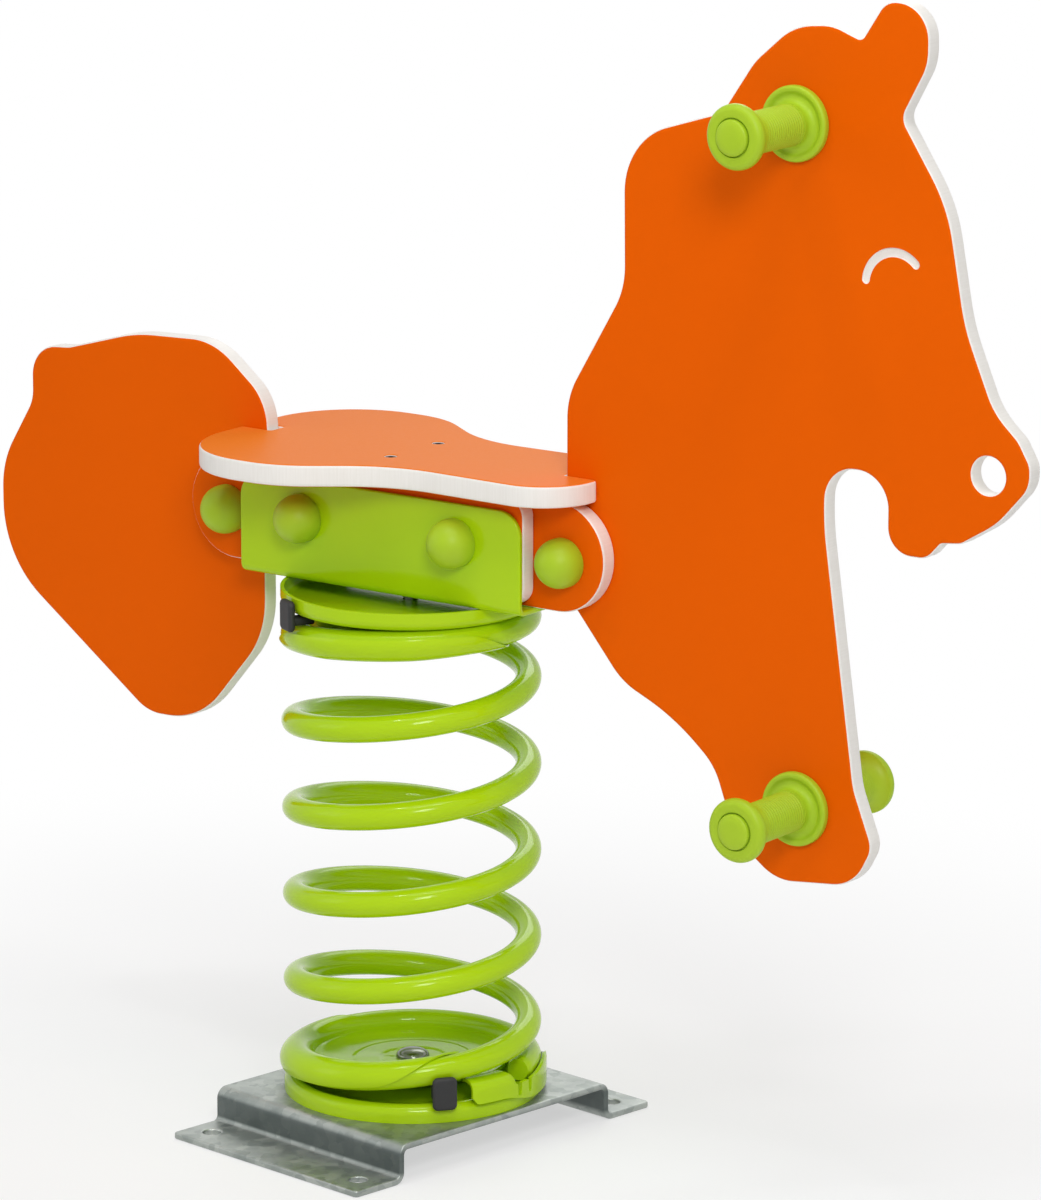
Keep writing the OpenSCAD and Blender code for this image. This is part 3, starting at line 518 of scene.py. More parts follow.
def groove_shells(loop, side, thickness, place):
    """A wall through the skin, the core below it, a small round at the bottom, and a flat floor."""
    half = thickness / 2
    bottom = half - GROOVE_DEEP
    profile = np.array([
        [GROOVE_BAND, half], [GROOVE_LIP, half], [0, half - GROOVE_LIP], [0, half - SKIN],
        [0, bottom + GROOVE_ROUND], [-ROUND_POINT[0], bottom + ROUND_POINT[1]], [-GROOVE_ROUND, bottom]])
    wall = strip(loop, profile * [1, side], [0, 0, 0, 1, 1, 1], place)
    floor = flat_face([loop[0] + GROOVE_ROUND * loop[1]], side * bottom, place, 1)
    return [wall, floor]


eye = eye_loop()
print("eye groove:", len(eye[0]), "points round it")

# %% Head panel and tail panel
ORANGE_BOARD = ("rider", "orange_board", [orange_skin, core_standing])

head_loops = [arcs(counter_clockwise(HEAD)), round_hole(*NOSTRIL)]
head_loops += [round_hole(at, ROD_HOLE) for at in (HANDLE, FOOTREST)]
head_loops += [round_hole(at, BOLT_HOLE) for at in (BRACKET_BOLT, LINK_BOLT)]
head_shells = board(head_loops, PANEL_T, standing, grooves=[eye])
for side in (-1, 1):
    head_shells += groove_shells(eye, side, PANEL_T, standing)
make_piece("head_board", head_shells, *ORANGE_BOARD, ["head_panel"])

tail_loops = [arcs(counter_clockwise(TAIL))]
tail_loops += [round_hole((-x, height), BOLT_HOLE) for x, height in (BRACKET_BOLT, LINK_BOLT)]
make_piece("tail_board", board(tail_loops, PANEL_T, standing), *ORANGE_BOARD, ["tail_panel"])

# %% [markdown]
# ## Boards round the bracket
# Two round-ended boards hold the tongues of the head and the tail between them, and two shorter boards pad
# them out to the bracket's width. The round-ended ones have a bay for the nut of the upper clamp. All four are
# sawn from the same sheet as the panels, so the same board function makes them.

# %% Link boards and spacer boards
LINK_LOW, SPACER_LOW, BOARD_TOP = 4, 7, 89
LINK_T = 15
LINK_REACH = 196.5
BAY_HALF, BAY_TOP = 17, 29
BAY_MOUTH_R, BAY_R = 4.5, 6
SPACER_HALF, SPACER_R = 133, 14
ROUND_END = (BOARD_TOP - LINK_LOW) / 2 - 0.01  # a hair less than half, so that both arcs fit
SIDES = ((-1, "right"), (1, "left"))


def round_rectangle(half, low, top, radius):
    """Corners of an upright rectangle that reaches `half` to each side, all with the same radius."""
    return [[-half, low, radius], [half, low, radius], [half, top, radius], [-half, top, radius]]


link_outline = [
    [-LINK_REACH, LINK_LOW, ROUND_END], [-BAY_HALF, LINK_LOW, BAY_MOUTH_R], [-BAY_HALF, BAY_TOP, BAY_R],
    [BAY_HALF, BAY_TOP, BAY_R], [BAY_HALF, LINK_LOW, BAY_MOUTH_R], [LINK_REACH, LINK_LOW, ROUND_END],
    [LINK_REACH, BOARD_TOP, ROUND_END], [-LINK_REACH, BOARD_TOP, ROUND_END]]
spacer_outline = round_rectangle(SPACER_HALF, SPACER_LOW, BOARD_TOP, SPACER_R)

for side, word in SIDES:
    for kind, outline, holes, across in (
        ("link", link_outline, (BRACKET_BOLT, LINK_BOLT), PANEL_T / 2 + LINK_T / 2),
        ("spacer", spacer_outline, (BRACKET_BOLT,), PANEL_T / 2 + LINK_T * 1.5)):
        loops = [arcs(outline)]
        loops += [round_hole((x * at[0], at[1]), BOLT_HOLE) for at in holes for x in (-1, 1)]
        shells = board(loops, LINK_T, lambda flat, depth: standing(flat, depth + side * across))
        make_piece(f"{kind}_plank_{word}", shells, *ORANGE_BOARD, [f"{kind}_board_{word}"])

# %% [markdown]
# ## Seat
# The seat lies flat on the boards. It is wide behind, waisted where the legs go, and slotted over both
# panels. Its outline is mirrored about the horse's plane, with the two slots in it. The two screw holes have
# a smaller round than the outline.

# %% Seat board
SEAT_LOW, SEAT_TOP = (corner.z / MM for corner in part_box("seat_board"))
SEAT_T = SEAT_TOP - SEAT_LOW
SEAT_BACK, SEAT_FRONT = -157, 181
SLOT_GAP = 0.4
SLOT = PANEL_T / 2 + SLOT_GAP
SLOT_BACK, SLOT_FRONT = -129, 150
SLOT_R, SLOT_MOUTH_R = 1.5, 4.5
SCREW_AT = (4, 30)
SCREW_HOLE = 9.4

seat_half = [
    [SEAT_BACK, SLOT, SLOT_MOUTH_R], [SEAT_BACK, 109, 74], [-46, 109, 80], [26, 57, 110],
    [SEAT_FRONT, 61, 44], [SEAT_FRONT, SLOT, SLOT_MOUTH_R], [SLOT_FRONT, SLOT, SLOT_R]]
seat_outline = seat_half + [[x, -y, r] for x, y, r in seat_half[::-1]]
seat_outline += [[SLOT_BACK, -SLOT, SLOT_R], [SLOT_BACK, SLOT, SLOT_R]]


def lying(flat, depth):
    """A drawing point (x, y) and a depth above the seat's middle, to x, y, z."""
    return joined(flat[..., 0], flat[..., 1], depth + SEAT_LOW + SEAT_T / 2)


seat_loops = [arcs(counter_clockwise(seat_outline))]
seat_loops += [round_hole((SCREW_AT[0], side * SCREW_AT[1]), SCREW_HOLE) for side in (-1, 1)]
make_piece("seat_plank", board(seat_loops, SEAT_T, lying, hole_edge=SHEET_EDGE), "rider", "orange_board",
    [seat_skin_painted_sheen, core_lying], ["seat_board"])

# %% [markdown]
# ## Folded sheets: the base plate and the bracket
# Both are cut flat and punched, then folded, so that is how they are made here: a thin board with holes,
# whose points are then carried round the bends. Along the folded direction the heading h(s) is the sum of the
# bends already passed, and the running sum of (cos h, sin h) is the place. The thickness goes along the
# normal. Edges of the mesh that follow the bend lines keep the round parts even.

# %% Folding
FOLD_STEPS = 8
FOLD_SAMPLES = 4000


def folded(s, bends):
    """Place and normal of the folded middle surface at distance s from its middle. Each bend is (start,
    turn in degrees, radius), and the heading turns evenly over the bend's length."""
    far = np.linspace(0, np.abs(s).max(), FOLD_SAMPLES)
    heading = sum(np.radians(turn) * np.clip((far - start) / (radius * np.pi / 2), 0, 1)
        for start, turn, radius in bends)
    step = np.diff(far, prepend=0)
    across = np.interp(np.abs(s), far, np.cumsum(np.cos(heading) * step)) * np.sign(s)
    up = np.interp(np.abs(s), far, np.cumsum(np.sin(heading) * step))
    lean = np.interp(np.abs(s), far, heading)
    return across, up, -np.sin(lean) * np.sign(s), np.cos(lean)


def folding(bends, middle, turn=0):
    """The function that folds a flat sheet's points (across, along) and a depth: its middle surface starts
    at the height `middle`, and the folded sheet is turned about the upright axis by an angle."""
    def place(flat, depth):
        across, up, lean_across, lean_up = folded(flat[..., 0], bends)
        u, v = flat[..., 1], across + lean_across * depth
        return joined(u * np.cos(turn) - v * np.sin(turn), u * np.sin(turn) + v * np.cos(turn),
            middle + up + lean_up * depth)

    return place


def sheet_outline(reach, half_length, corner_r, fold_lines):
    """A rectangle of sheet with round corners, and a point on each long edge where a fold line ends."""
    out = [[line, -half_length, 0] for line in fold_lines]
    back = [[line, half_length, 0] for line in fold_lines[::-1]]
    return arcs([[-reach, -half_length, corner_r], *out, [reach, -half_length, corner_r],
        [reach, half_length, corner_r], *back, [-reach, half_length, corner_r]])


def fold_rows(bends):
    """Lines across the sheet: evenly spaced over each bend, on both sides of the middle."""
    rows = np.concatenate([np.linspace(start, start + radius * np.pi / 2, FOLD_STEPS + 1)
        for start, _, radius in bends])
    return np.concatenate([-rows[::-1], rows])


def four_holes(across, along, diameter):
    """Four round holes, at plus and minus both distances from the sheet's middle."""
    return [round_hole((i * across, k * along), diameter) for i in (-1, 1) for k in (-1, 1)]


# %% [markdown]
# The base plate has a hat profile: a raised top under the clamp, two webs and two flanges with the ground
# bolt holes. It stands slightly turned under the horse, as the photographed one does.

# %% Base plate
BASE_T = 5
BASE_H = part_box("base_plate")[1].z / MM
BASE_BEND = 6.5
BASE_TURN = np.radians(-9)
TOP_FLAT = 104
WEB_FLAT = BASE_H - BASE_T - 2 * BASE_BEND
FLANGE = 42
BASE_HALF, BASE_CORNER = 103, 4
GROUND_HOLE = (157.4, 82, 14)

bend_arc = BASE_BEND * np.pi / 2
base_bends = [(TOP_FLAT, -90, BASE_BEND), (TOP_FLAT + bend_arc + WEB_FLAT, 90, BASE_BEND)]
base_rows = fold_rows(base_bends)
base_reach = TOP_FLAT + 2 * bend_arc + WEB_FLAT + FLANGE
base_loops = [sheet_outline(base_reach, BASE_HALF, BASE_CORNER, base_rows), round_hole((0, 0), ROD_HOLE)]
base_loops += four_holes(*GROUND_HOLE)
on_ground = folding(base_bends, BASE_H - BASE_T / 2, BASE_TURN)
make_piece("hat_plate", board(base_loops, BASE_T, on_ground, SHEET_EDGE, fold_lines=base_rows),
    "base", "galvanised_steel", [galvanised, galvanised], ["base_plate"])

# %% [markdown]
# The bracket is a U of coated sheet, 4 mm thick, with large radii on its upper corners so that no child meets
# a point. Its bolt holes lie under the round covers.

# %% Saddle bracket
BRACKET_T = 4
BRACKET_BEND = 5
FLOOR_FLAT = 34.5
SIDE_FLAT = 73
BRACKET_HALF = 133
BRACKET_CORNER = 20

bracket_bends = [(FLOOR_FLAT, 90, BRACKET_BEND)]
bracket_rows = fold_rows(bracket_bends)
side_start = FLOOR_FLAT + BRACKET_BEND * np.pi / 2
bracket_bolt_s = side_start + BRACKET_BOLT[1] - BRACKET_T / 2 - BRACKET_BEND
bracket_loops = [sheet_outline(side_start + SIDE_FLAT, BRACKET_HALF, BRACKET_CORNER, bracket_rows),
    round_hole((0, 0), ROD_HOLE)]
bracket_loops += four_holes(bracket_bolt_s, BRACKET_BOLT[0], BOLT_HOLE)
on_clamp = folding(bracket_bends, SADDLE + BRACKET_T / 2)
make_piece("saddle_sheet", board(bracket_loops, BRACKET_T, on_clamp, SHEET_EDGE, fold_lines=bracket_rows),
    "rider", "lime_steel", [powder_coat, powder_coat], ["saddle_bracket"])

# %% [markdown]
# ## The spring
# One steel wire of 20 mm, wound to 200 mm over the outside. Each end lies flat in its clamp for more than
# half a turn and then lifts, first slowly and then at one pitch. Its height is therefore a lift function used
# twice: it starts at the lower clamp and stops at the upper one. The tube is a circle carried along that line,
# leaning with its slope.

# %% The wire's line
WIRE_R = 10
COIL_R = 90
RING = 11.25  # degrees from one ring of the CAD wire to the next
WIRE_LOW, WIRE_HIGH = 55, 407
LEAVE, LAND = -10.5 * RING, 153.5 * RING
FIRST, LAST = -31 * RING, 174 * RING
LIFT_TURN = 45
PITCH = (WIRE_HIGH - WIRE_LOW) / (LAND - LEAVE)
TUBE_SIDES = 28


def lift(turn):
    """0 before -LIFT_TURN, the angle itself after LIFT_TURN, and a parabola that joins the two."""
    return np.where(turn > LIFT_TURN, turn, np.clip(turn + LIFT_TURN, 0, None) ** 2 / (4 * LIFT_TURN))


def wire_height(turn):
    """Height of the wire's middle at an angle, in degrees from +X."""
    return WIRE_LOW + PITCH * (lift(turn - LEAVE) - lift(turn - LAND))


def tube(turn, radius):
    """A circle of the given radius round the wire's line at each angle, leaning with the slope, which is
    taken over one degree."""
    a = np.radians(turn)[:, None]
    slope = np.arctan2(wire_height(turn + 0.5) - wire_height(turn - 0.5), COIL_R * np.radians(1))[:, None]
    b = np.linspace(0, 2 * np.pi, TUBE_SIDES, endpoint=False)
    out = COIL_R + radius[:, None] * np.cos(b)
    rise = radius[:, None] * np.sin(b)
    along = -rise * np.sin(slope)
    return joined(out * np.cos(a) - along * np.sin(a), out * np.sin(a) + along * np.cos(a),
        wire_height(turn)[:, None] + rise * np.cos(slope))


print("the wire climbs", round(PITCH * 360, 1), "mm a turn")

# %% [markdown]
# The spring bends when the horse rocks: its lower half carries the rocking fore and aft, its upper half the
# sideways rocking. So the wire is made in two lengths that meet at half height, on the far side of the coil.
# The wire's own ends have a small chamfer.

# %% Two lengths of wire
TURN_STEP = 2.25
CHAMFER = 1.5
MIDDLE = (LEAVE + LAND) / 2
MIDDLE_H = (WIRE_LOW + WIRE_HIGH) / 2


def wire_length(start, stop, own_end):
    """Rings from one angle to the other. One more ring at each end shrinks to a point, which closes the
    tube, and the ring next to it is smaller at the wire's own end, which gives the chamfer."""
    count = int(round((stop - start) / TURN_STEP)) + 1
    turn = np.linspace(start, stop, count)
    radius = np.full(count, float(WIRE_R))
    radius[0 if own_end == "first" else -1] -= CHAMFER
    turn = np.concatenate([[start], turn, [stop]])
    return grid(tube(turn, np.concatenate([[0], radius, [0]])), wrap_columns=True)


low_coil = make_piece("coil_lower_half", [wire_length(FIRST, MIDDLE, "first")], None, "lime_steel",
    [powder_coat], ["spring"])
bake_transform(low_coil)
high_coil = make_piece("coil_upper_half", [wire_length(MIDDLE, LAST, "last")], None, "lime_steel",
    [powder_coat], ["spring"])
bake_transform(high_coil)

# %% [markdown]
# ## Clamps
# Each end of the wire is held between a round plate and a dish, both pressed from 3 mm sheet. A pressing is
# a middle line in the (radius, height) plane that may change from angle to angle, with half of the sheet on
# each side. The upper clamp is the lower one turned over, so every clamp function gives the lower one and a
# half turn about a level line places the other.

# %% Pressed sheet
CLAMP_T = 3


def turned_over(points):
    """Half a turn about the level line at angle MIDDLE, at half the spring's height: p becomes
    2 (p . d) d - p, with the height mirrored about the middle."""
    d = np.array([*unit(np.radians(MIDDLE)), 0])
    rel = points - [0, 0, MIDDLE_H]
    return 2 * (rel @ d)[..., None] * d - rel + [0, 0, MIDDLE_H]


def round_the_axis(turn, line):
    """(radius, height) at each angle, in degrees, to x, y, z."""
    a = np.radians(turn).reshape(-1, *[1] * (line.ndim - 2))
    return joined(line[..., 0] * np.cos(a), line[..., 0] * np.sin(a), line[..., 1])


def pressing(turn, line, thickness, wrap):
    """A sheet with middle line [angle, along, (r, z)]: half the thickness on each side of it, along the
    line's own normal. Where the thickness is 0 at an end the two sides meet and close it."""
    along = np.gradient(line, axis=1)
    along /= np.linalg.norm(along, axis=-1, keepdims=True)
    offset = joined(-along[..., 1], along[..., 0]) * np.reshape(thickness, (-1, 1, 1)) / 2
    both = np.concatenate([line + offset, (line - offset)[:, ::-1]], axis=1)
    return grid(round_the_axis(turn, both), wrap_rows=wrap, wrap_columns=True)


def smooth(x, start, stop):
    """0 before start, 1 after stop, and the smooth cubic 3 t^2 - 2 t^3 between."""
    t = np.clip((x - start) / (stop - start), 0, 1)
    return t * t * (3 - 2 * t)


def stretch_of(x, rise, top, fall, end):
    """0 up to rise, 1 from top to fall, 0 again from end on, and smooth between."""
    return smooth(x, rise, top) - smooth(x, fall, end)


# %% [markdown]
# The plate is a disc with a rounded, turned-down rim. Where the wire has lifted off the lower one, a channel
# is pressed in behind the rim, so the gap under the wire looks deep and dark. The upper plate has none.

# %% Clamp plate
PLATE_R = 100
PLATE_TOP = 45
HOLE_R = 6.5
RIM_ROUND = 6
FOOT_GAP = 0.1
CHANNEL, CHANNEL_ACROSS, CHANNEL_ROUND = 7, (54, 68, 84, 92.5), (-150, -105, -12, 5)

plate_turn = np.arange(-180, 180, 2.5)
mid, rim_r = PLATE_TOP - CLAMP_T / 2, PLATE_R - CLAMP_T / 2
rim_line, _ = arcs([[HOLE_R, mid, 0], [40, mid, 0], [rim_r, mid, RIM_ROUND],
    [rim_r, BASE_H + FOOT_GAP, 0]], closed=False)
flat_r = np.linspace(42, 90, 24)  # more points on the flat, for the channel
rim_line = np.vstack([rim_line[:2], np.column_stack([flat_r, np.full(len(flat_r), mid)]), rim_line[2:]])


def plate_shell(depth):
    """The rim's line at every angle, with the channel pressed in to that depth where the wire has lifted."""
    line = np.repeat(rim_line[None], len(plate_turn), axis=0)
    lifted = stretch_of(plate_turn, *CHANNEL_ROUND)
    line[..., 1] -= depth * lifted[:, None] * stretch_of(rim_line[:, 0], *CHANNEL_ACROSS)
    return pressing(plate_turn, line, CLAMP_T, True)


print("clamp plate: line of", len(rim_line), "points at", len(plate_turn), "angles")

# %% [markdown]
# On one side a hood stands over the wire's end and stops it from creeping. It is bent from the same sheet as
# a low wall that runs on round the wire, with two notches that let water out. The hood's lower edge is free,
# and its corner is rounded. So the sheet is one curve, upwards and then inwards, and each angle uses the
# stretch of it between a lower and an upper end.

# %% Hood and wall
WALL_R = 102.8
HOOD_FROM, HOOD_TO = -27, -5
WALL_END = 54
WALL_H, WALL_RISE, WALL_DROP = 21, 5, 8
FREE_EDGE, HOOD_LIFT, CORNER_LIFT = 5, 7.5, 5
LIFT_AT, RISE_AT, DROP_AT = (-12, 12), (8, 30), (36, WALL_END)
NOTCHES, NOTCH_HALF, NOTCH_DEEP = (-0.7, 7.2), (1, 1.6), 10

hood_path, _ = arcs([[WALL_R, BASE_H + FOOT_GAP, 0], [WALL_R, 59, 6], [92, 60.5, 3], [85, 59, 0]], closed=False)
hood_far = np.concatenate([[0], np.cumsum(np.linalg.norm(np.diff(hood_path, axis=0), axis=1))])
wall_turn = np.linspace(HOOD_FROM, WALL_END, 350)
hood = 1 - smooth(wall_turn, HOOD_TO - 3, HOOD_TO + 2)
wall_low = FREE_EDGE + HOOD_LIFT * (1 - smooth(wall_turn, *LIFT_AT))
wall_low += CORNER_LIFT * (1 - smooth(wall_turn, HOOD_FROM, HOOD_FROM + 4)) ** 2
wall_high = WALL_H + WALL_RISE * smooth(wall_turn, *RISE_AT) - WALL_DROP * smooth(wall_turn, *DROP_AT)
notch = sum(smooth(-np.abs(wall_turn - at), -NOTCH_HALF[1], -NOTCH_HALF[0]) for at in NOTCHES)
wall_high = wall_high + hood * (hood_far[-1] - wall_high) - NOTCH_DEEP * notch
used = wall_low[:, None] + (wall_high - wall_low)[:, None] * np.linspace(0, 1, 24)
wall_line = joined(*(np.interp(used, hood_far, hood_path[:, k]) for k in (0, 1)))
wall_sheet = np.full(len(wall_turn), float(CLAMP_T))
wall_sheet[[0, -1]] = 0
wall_shell = pressing(wall_turn, wall_line, wall_sheet, False)
print("hood's curve:", round(hood_far[-1], 1), "mm long")

# %% [markdown]
# The dish has a flat floor for the bolt and a wall that rolls over the wire. Its sheet is trimmed: only the
# wire's inner side is covered at the back, then comes a full roll where it grips, and then a free edge that
# climbs across the wire and leaves it bare, as the photograph shows. So the line across the dish is always the
# same curve, and only the share of it that is used changes with the angle. Where the roll begins and where it
# ends the sheet is pressed thinner, and hugs the wire. A broad, slightly raised ring stiffens the floor.

# %% Clamp dish
FLOOR_H = 52.5
ROLL_GAP = 0.6
WALL_FOOT = 64
LIP = -24
DISH_FROM, DISH_TO = -303, -28
LOW_SHARE, WALL_SHARE, LAP_SHARE = 0.14, 0.3, 0.44
GRIP = (-212, -162, -72, -22)
THINNED = ((1.4, (-100, -65, -28, -10)), (1.8, (-300, -230, -172, -135)))
PRESS_RING, PRESS_H = (24, 27, 44, 47), 0.8


def dish_line(turn, share, roll):
    """From WALL_FOOT a parabola up to the wire's inner side, then a circle round the wire."""
    lifted = wire_height(np.minimum(turn, DISH_TO)) - WIRE_LOW
    low = WIRE_LOW + lifted * (1 - smooth(turn, DISH_TO, DISH_TO + 30))
    low = np.broadcast_to(low[:, None], share.shape)
    q = np.clip(share / WALL_SHARE, 0, 1)
    wall_r = WALL_FOOT * (1 - q) ** 2 + 2 * q * (1 - q) * (COIL_R - roll - 1) + q ** 2 * (COIL_R - roll)
    wall_z = FLOOR_H * (1 - q) ** 2 + 2 * q * (1 - q) * FLOOR_H + q ** 2 * low
    b = np.radians(180 - (180 - LIP) * np.clip((share - WALL_SHARE) / (1 - WALL_SHARE), 0, 1))
    rolled = share > WALL_SHARE
    return joined(np.where(rolled, COIL_R + roll * np.cos(b), wall_r),
        np.where(rolled, low + roll * np.sin(b), wall_z))


dish_turn = np.arange(-330, 30, 1.5)
lapped = LAP_SHARE + (1 - LAP_SHARE) * stretch_of(dish_turn, *GRIP)
trim = LOW_SHARE + (lapped - LOW_SHARE) * stretch_of(dish_turn, DISH_FROM - 6, DISH_FROM, DISH_TO, DISH_TO + 9)
dish_sheet = CLAMP_T - sum(less * stretch_of(dish_turn, *where) for less, where in THINNED)
rim = dish_line(dish_turn, trim[:, None] * np.linspace(0, 1, 40), WIRE_R + ROLL_GAP + dish_sheet[:, None] / 2)
floor_r = np.linspace(HOLE_R, WALL_FOOT, 40)[:-1]
floor_line = joined(floor_r, FLOOR_H + PRESS_H * stretch_of(floor_r, *PRESS_RING))
floor_line = np.broadcast_to(floor_line, (len(dish_turn), *floor_line.shape))
dish_shell = pressing(dish_turn, np.concatenate([floor_line, rim], axis=1), dish_sheet, True)
print("dish sheet:", round(dish_sheet.min(), 2), "to", round(dish_sheet.max(), 2), "mm")

# %% Both clamps
EDGE_ROUND, EDGE_BEND = 0.6, 50


def flipped(shell):
    """The same shell, turned over for the upper clamp."""
    return turned_over(shell[0]), shell[1], shell[2]


def soften(piece):
    """Rounds a piece's edges by EDGE_ROUND mm where they bend more than EDGE_BEND degrees."""
    bevel = piece.modifiers.new("edge_round", "BEVEL")
    bevel.width = EDGE_ROUND * MM
    bevel.segments = 2
    bevel.limit_method = "ANGLE"
    bevel.angle_limit = np.radians(EDGE_BEND)


CLAMPS = (("lower", "base", lambda shell: shell), ("upper", "rider", flipped))

for (level, body, set_over), depth in zip(CLAMPS, (CHANNEL, 0)):
    for part, shells in (("plate", [plate_shell(depth), wall_shell]), ("dish", [dish_shell])):
        soften(make_piece(f"{level}_{part}_pressing", [set_over(shell) for shell in shells], body,
            "lime_steel", [powder_coat], [f"{level}_clamp_{part}"]))

# %% [markdown]
# ## Rubber pinch blocks
# Where the wire lifts off its plate a gap opens that could catch a finger, so a rubber block is pushed into it.
# Its face laps over the plate's rim and the wire. It is a small board again, with a larger round on its edges,
# placed along the rim's tangent, and a narrower tongue that fills the gap behind it.

# %% Pinch blocks
BLOCK_HALF, BLOCK_R, BLOCK_T, BLOCK_OUT = 9.5, 4.2, 5.6, 104.4
TONGUE_HALF, TONGUE_R, TONGUE_T, TONGUE_OUT = 6, 2.7, 18, 93
TONGUE_LOW, TONGUE_GAP, NARROW_END = 45.4, 0.4, 4
BLOCK_PLACES = ((-39.5, 42.5, 68.5), (-74.5, 32, 56))


def against_rim(turn, radius):
    """Places a drawing (along the rim, height) at an angle and radius of the clamp, depth outwards."""
    a = np.radians(turn)

    def place(flat, depth):
        out, side = radius + depth, flat[..., 0]
        return joined(out * np.cos(a) - side * np.sin(a), out * np.sin(a) + side * np.cos(a), flat[..., 1])

    return place


for (level, body, set_over), (turn, low, top) in zip(CLAMPS, BLOCK_PLACES):
    gap = wire_height(np.array(turn - NARROW_END)) - WIRE_R - TONGUE_GAP
    face = round_rectangle(BLOCK_HALF, low, top, BLOCK_R)
    tongue = round_rectangle(TONGUE_HALF, TONGUE_LOW, gap, TONGUE_R)
    shells = board([arcs(face)], BLOCK_T, against_rim(turn, BLOCK_OUT))
    shells += board([arcs(tongue)], TONGUE_T, against_rim(turn, TONGUE_OUT), SHEET_EDGE)
    make_piece(f"{level}_rubber_block", [set_over(shell) for shell in shells], body, "black_rubber",
        [black_rubber, black_rubber], [f"{level}_pinch_block"])

# %% [markdown]
# ## Turned shapes: bolt heads, covers and grips
# These pieces are round, so each is a profile of radius and height, carried once round its axis. A cover is a
# dome with a short straight foot. A grip has a broad flange with a raised rim against the panel, a shaft with
# fine ribs that fade out, and an end that widens like a trumpet, so that small hands neither slip off nor reach
# the panel. A round plug sits in a shallow recess of its end.

# %% Surfaces of revolution
FACE_GAP = 0.05


def revolved(profile, place, steps=64):
    """The surface (r cos a, r sin a, h) for each profile point (r, h), put in place by a function."""
    a = np.linspace(0, 2 * np.pi, steps, endpoint=False)
    r, h = profile[:, :1], profile[:, 1:]
    return grid(place(joined(r * np.cos(a), r * np.sin(a), h)), wrap_columns=True)


def dome(radius, foot, height, power, steps):
    """Profile points (radius cos^power t, foot + (height - foot) sin t) for t from 0 to a quarter turn. A
    power below 1 makes the top flatter."""
    t = np.radians(np.linspace(0, 90, steps))
    return np.column_stack([radius * np.cos(t) ** power, foot + (height - foot) * np.sin(t)])


def across_horse(at, face, side):
    """Places a turned shape on a face across the horse: its axis points outwards on that side."""
    return lambda p: joined(at[0] + p[..., 0], side * (face + p[..., 2]), SADDLE + at[1] + p[..., 1])


def upright(height, at=(0, 0)):
    """Places a turned shape with its axis upright."""
    return lambda p: p + [*at, height]


# %% Clamp bolts
HEAD_R, HEAD_H, HEAD_FOOT = 13, 7, 1.2
HEAD_AT = 54
HEAD_CHAMFER, BOLT_CHAMFER = 0.4, 1
BOLT_R = 6
BOLT_PAST = 16.5

for (level, body, set_over), sheet in zip(CLAMPS, (BASE_T, BRACKET_T)):
    end = BASE_H - sheet - BOLT_PAST - HEAD_AT
    profile = np.vstack([[[0, end], [BOLT_R - BOLT_CHAMFER, end], [BOLT_R, end + BOLT_CHAMFER], [BOLT_R, 0],
        [HEAD_R - HEAD_CHAMFER, 0], [HEAD_R, HEAD_CHAMFER]], dome(HEAD_R, HEAD_FOOT, HEAD_H, 0.8, 14)])
    make_piece(f"{level}_clamp_screw", [set_over(revolved(profile, upright(HEAD_AT)))], body,
        "zinc_fasteners", [zinc_plated_shaded], [f"{level}_clamp_bolt"])

# %% [markdown]
# The seat screws have a hexagon socket and are painted dark: painted shade of the holes that their heads sit
# in.
# Their heads lie just below the seat's face, so from the side each is only a dark dot.

# %% Seat screws
SCREW_LEN, SCREW_R = 50, 2.5
# painted shade: the screws' dark colours stand for the shade in their recessed holes
SCREW_SHADE_DARK, SCREW_SHADE_GREY = "#2E2C2A", "#4A4642"

screw_steel_painted_shade, tree, shader, place = start_material("screw_steel_painted_shade")
_, tone = mottled(tree, place, size=2, detail=4, pale=SCREW_SHADE_DARK, deep=SCREW_SHADE_GREY)
fill(tree, shader, {"Base Color": tone, "Roughness": 0.5, "Metallic": 0.5})

screw_profile = np.array([[0, -SCREW_LEN], [1, -SCREW_LEN], [SCREW_R, 4 - SCREW_LEN], [SCREW_R, -3],
    [4.4, -1.1], [4.2, -0.8], [2.3, -0.8], [2.2, -2.4], [0, -2.6]])
screws = [revolved(screw_profile, upright(SEAT_TOP, (SCREW_AT[0], side * SCREW_AT[1])), 36) for side in (-1, 1)]
make_piece("seat_screw_pair", screws, "rider", "zinc_fasteners", [screw_steel_painted_shade], ["seat_screws"])

# %% Bolt covers
CAP_R = 19
CAP_H = 24
CAP_FOOT = 5
BRACKET_OUT = 41.5
SPACER_IN = 22.5
LIME_PLASTIC = ("rider", "lime_plastic", [moulded_plastic])

cap_profile = np.vstack([[[0, FACE_GAP], [CAP_R - 0.8, FACE_GAP], [CAP_R - 0.2, 0.3], [CAP_R, 0.9]],
    dome(CAP_R, CAP_FOOT, CAP_H, 1, 20)])
for name, at, face in (("bracket", BRACKET_BOLT, BRACKET_OUT), ("link", LINK_BOLT, SPACER_IN)):
    shells = [revolved(cap_profile, across_horse((x * at[0], at[1]), face, side))
        for x in (-1, 1) for side in (-1, 1)]
    make_piece(f"{name}_bolt_covers", shells, *LIME_PLASTIC, [f"{name}_caps"])

# %% Grips
GRIP_LEN = 83
SHAFT_R, BORE_R = 15.5, 6.3
RIBS, RIB_DEEP, RIB_FADE = 18, 1.3, 0.72
RIBS_FROM, RIBS_TO = 13, 64
FLANGE_R, FLANGE_T, FLANGE_DISH = 28, 6.5, 2
END_R = 24
BORE_END = GRIP_LEN - 14
RECESS = GRIP_LEN - 2
PLUG_R, PLUG_H, PLUG_STEM = 13.3, 4, 11.2

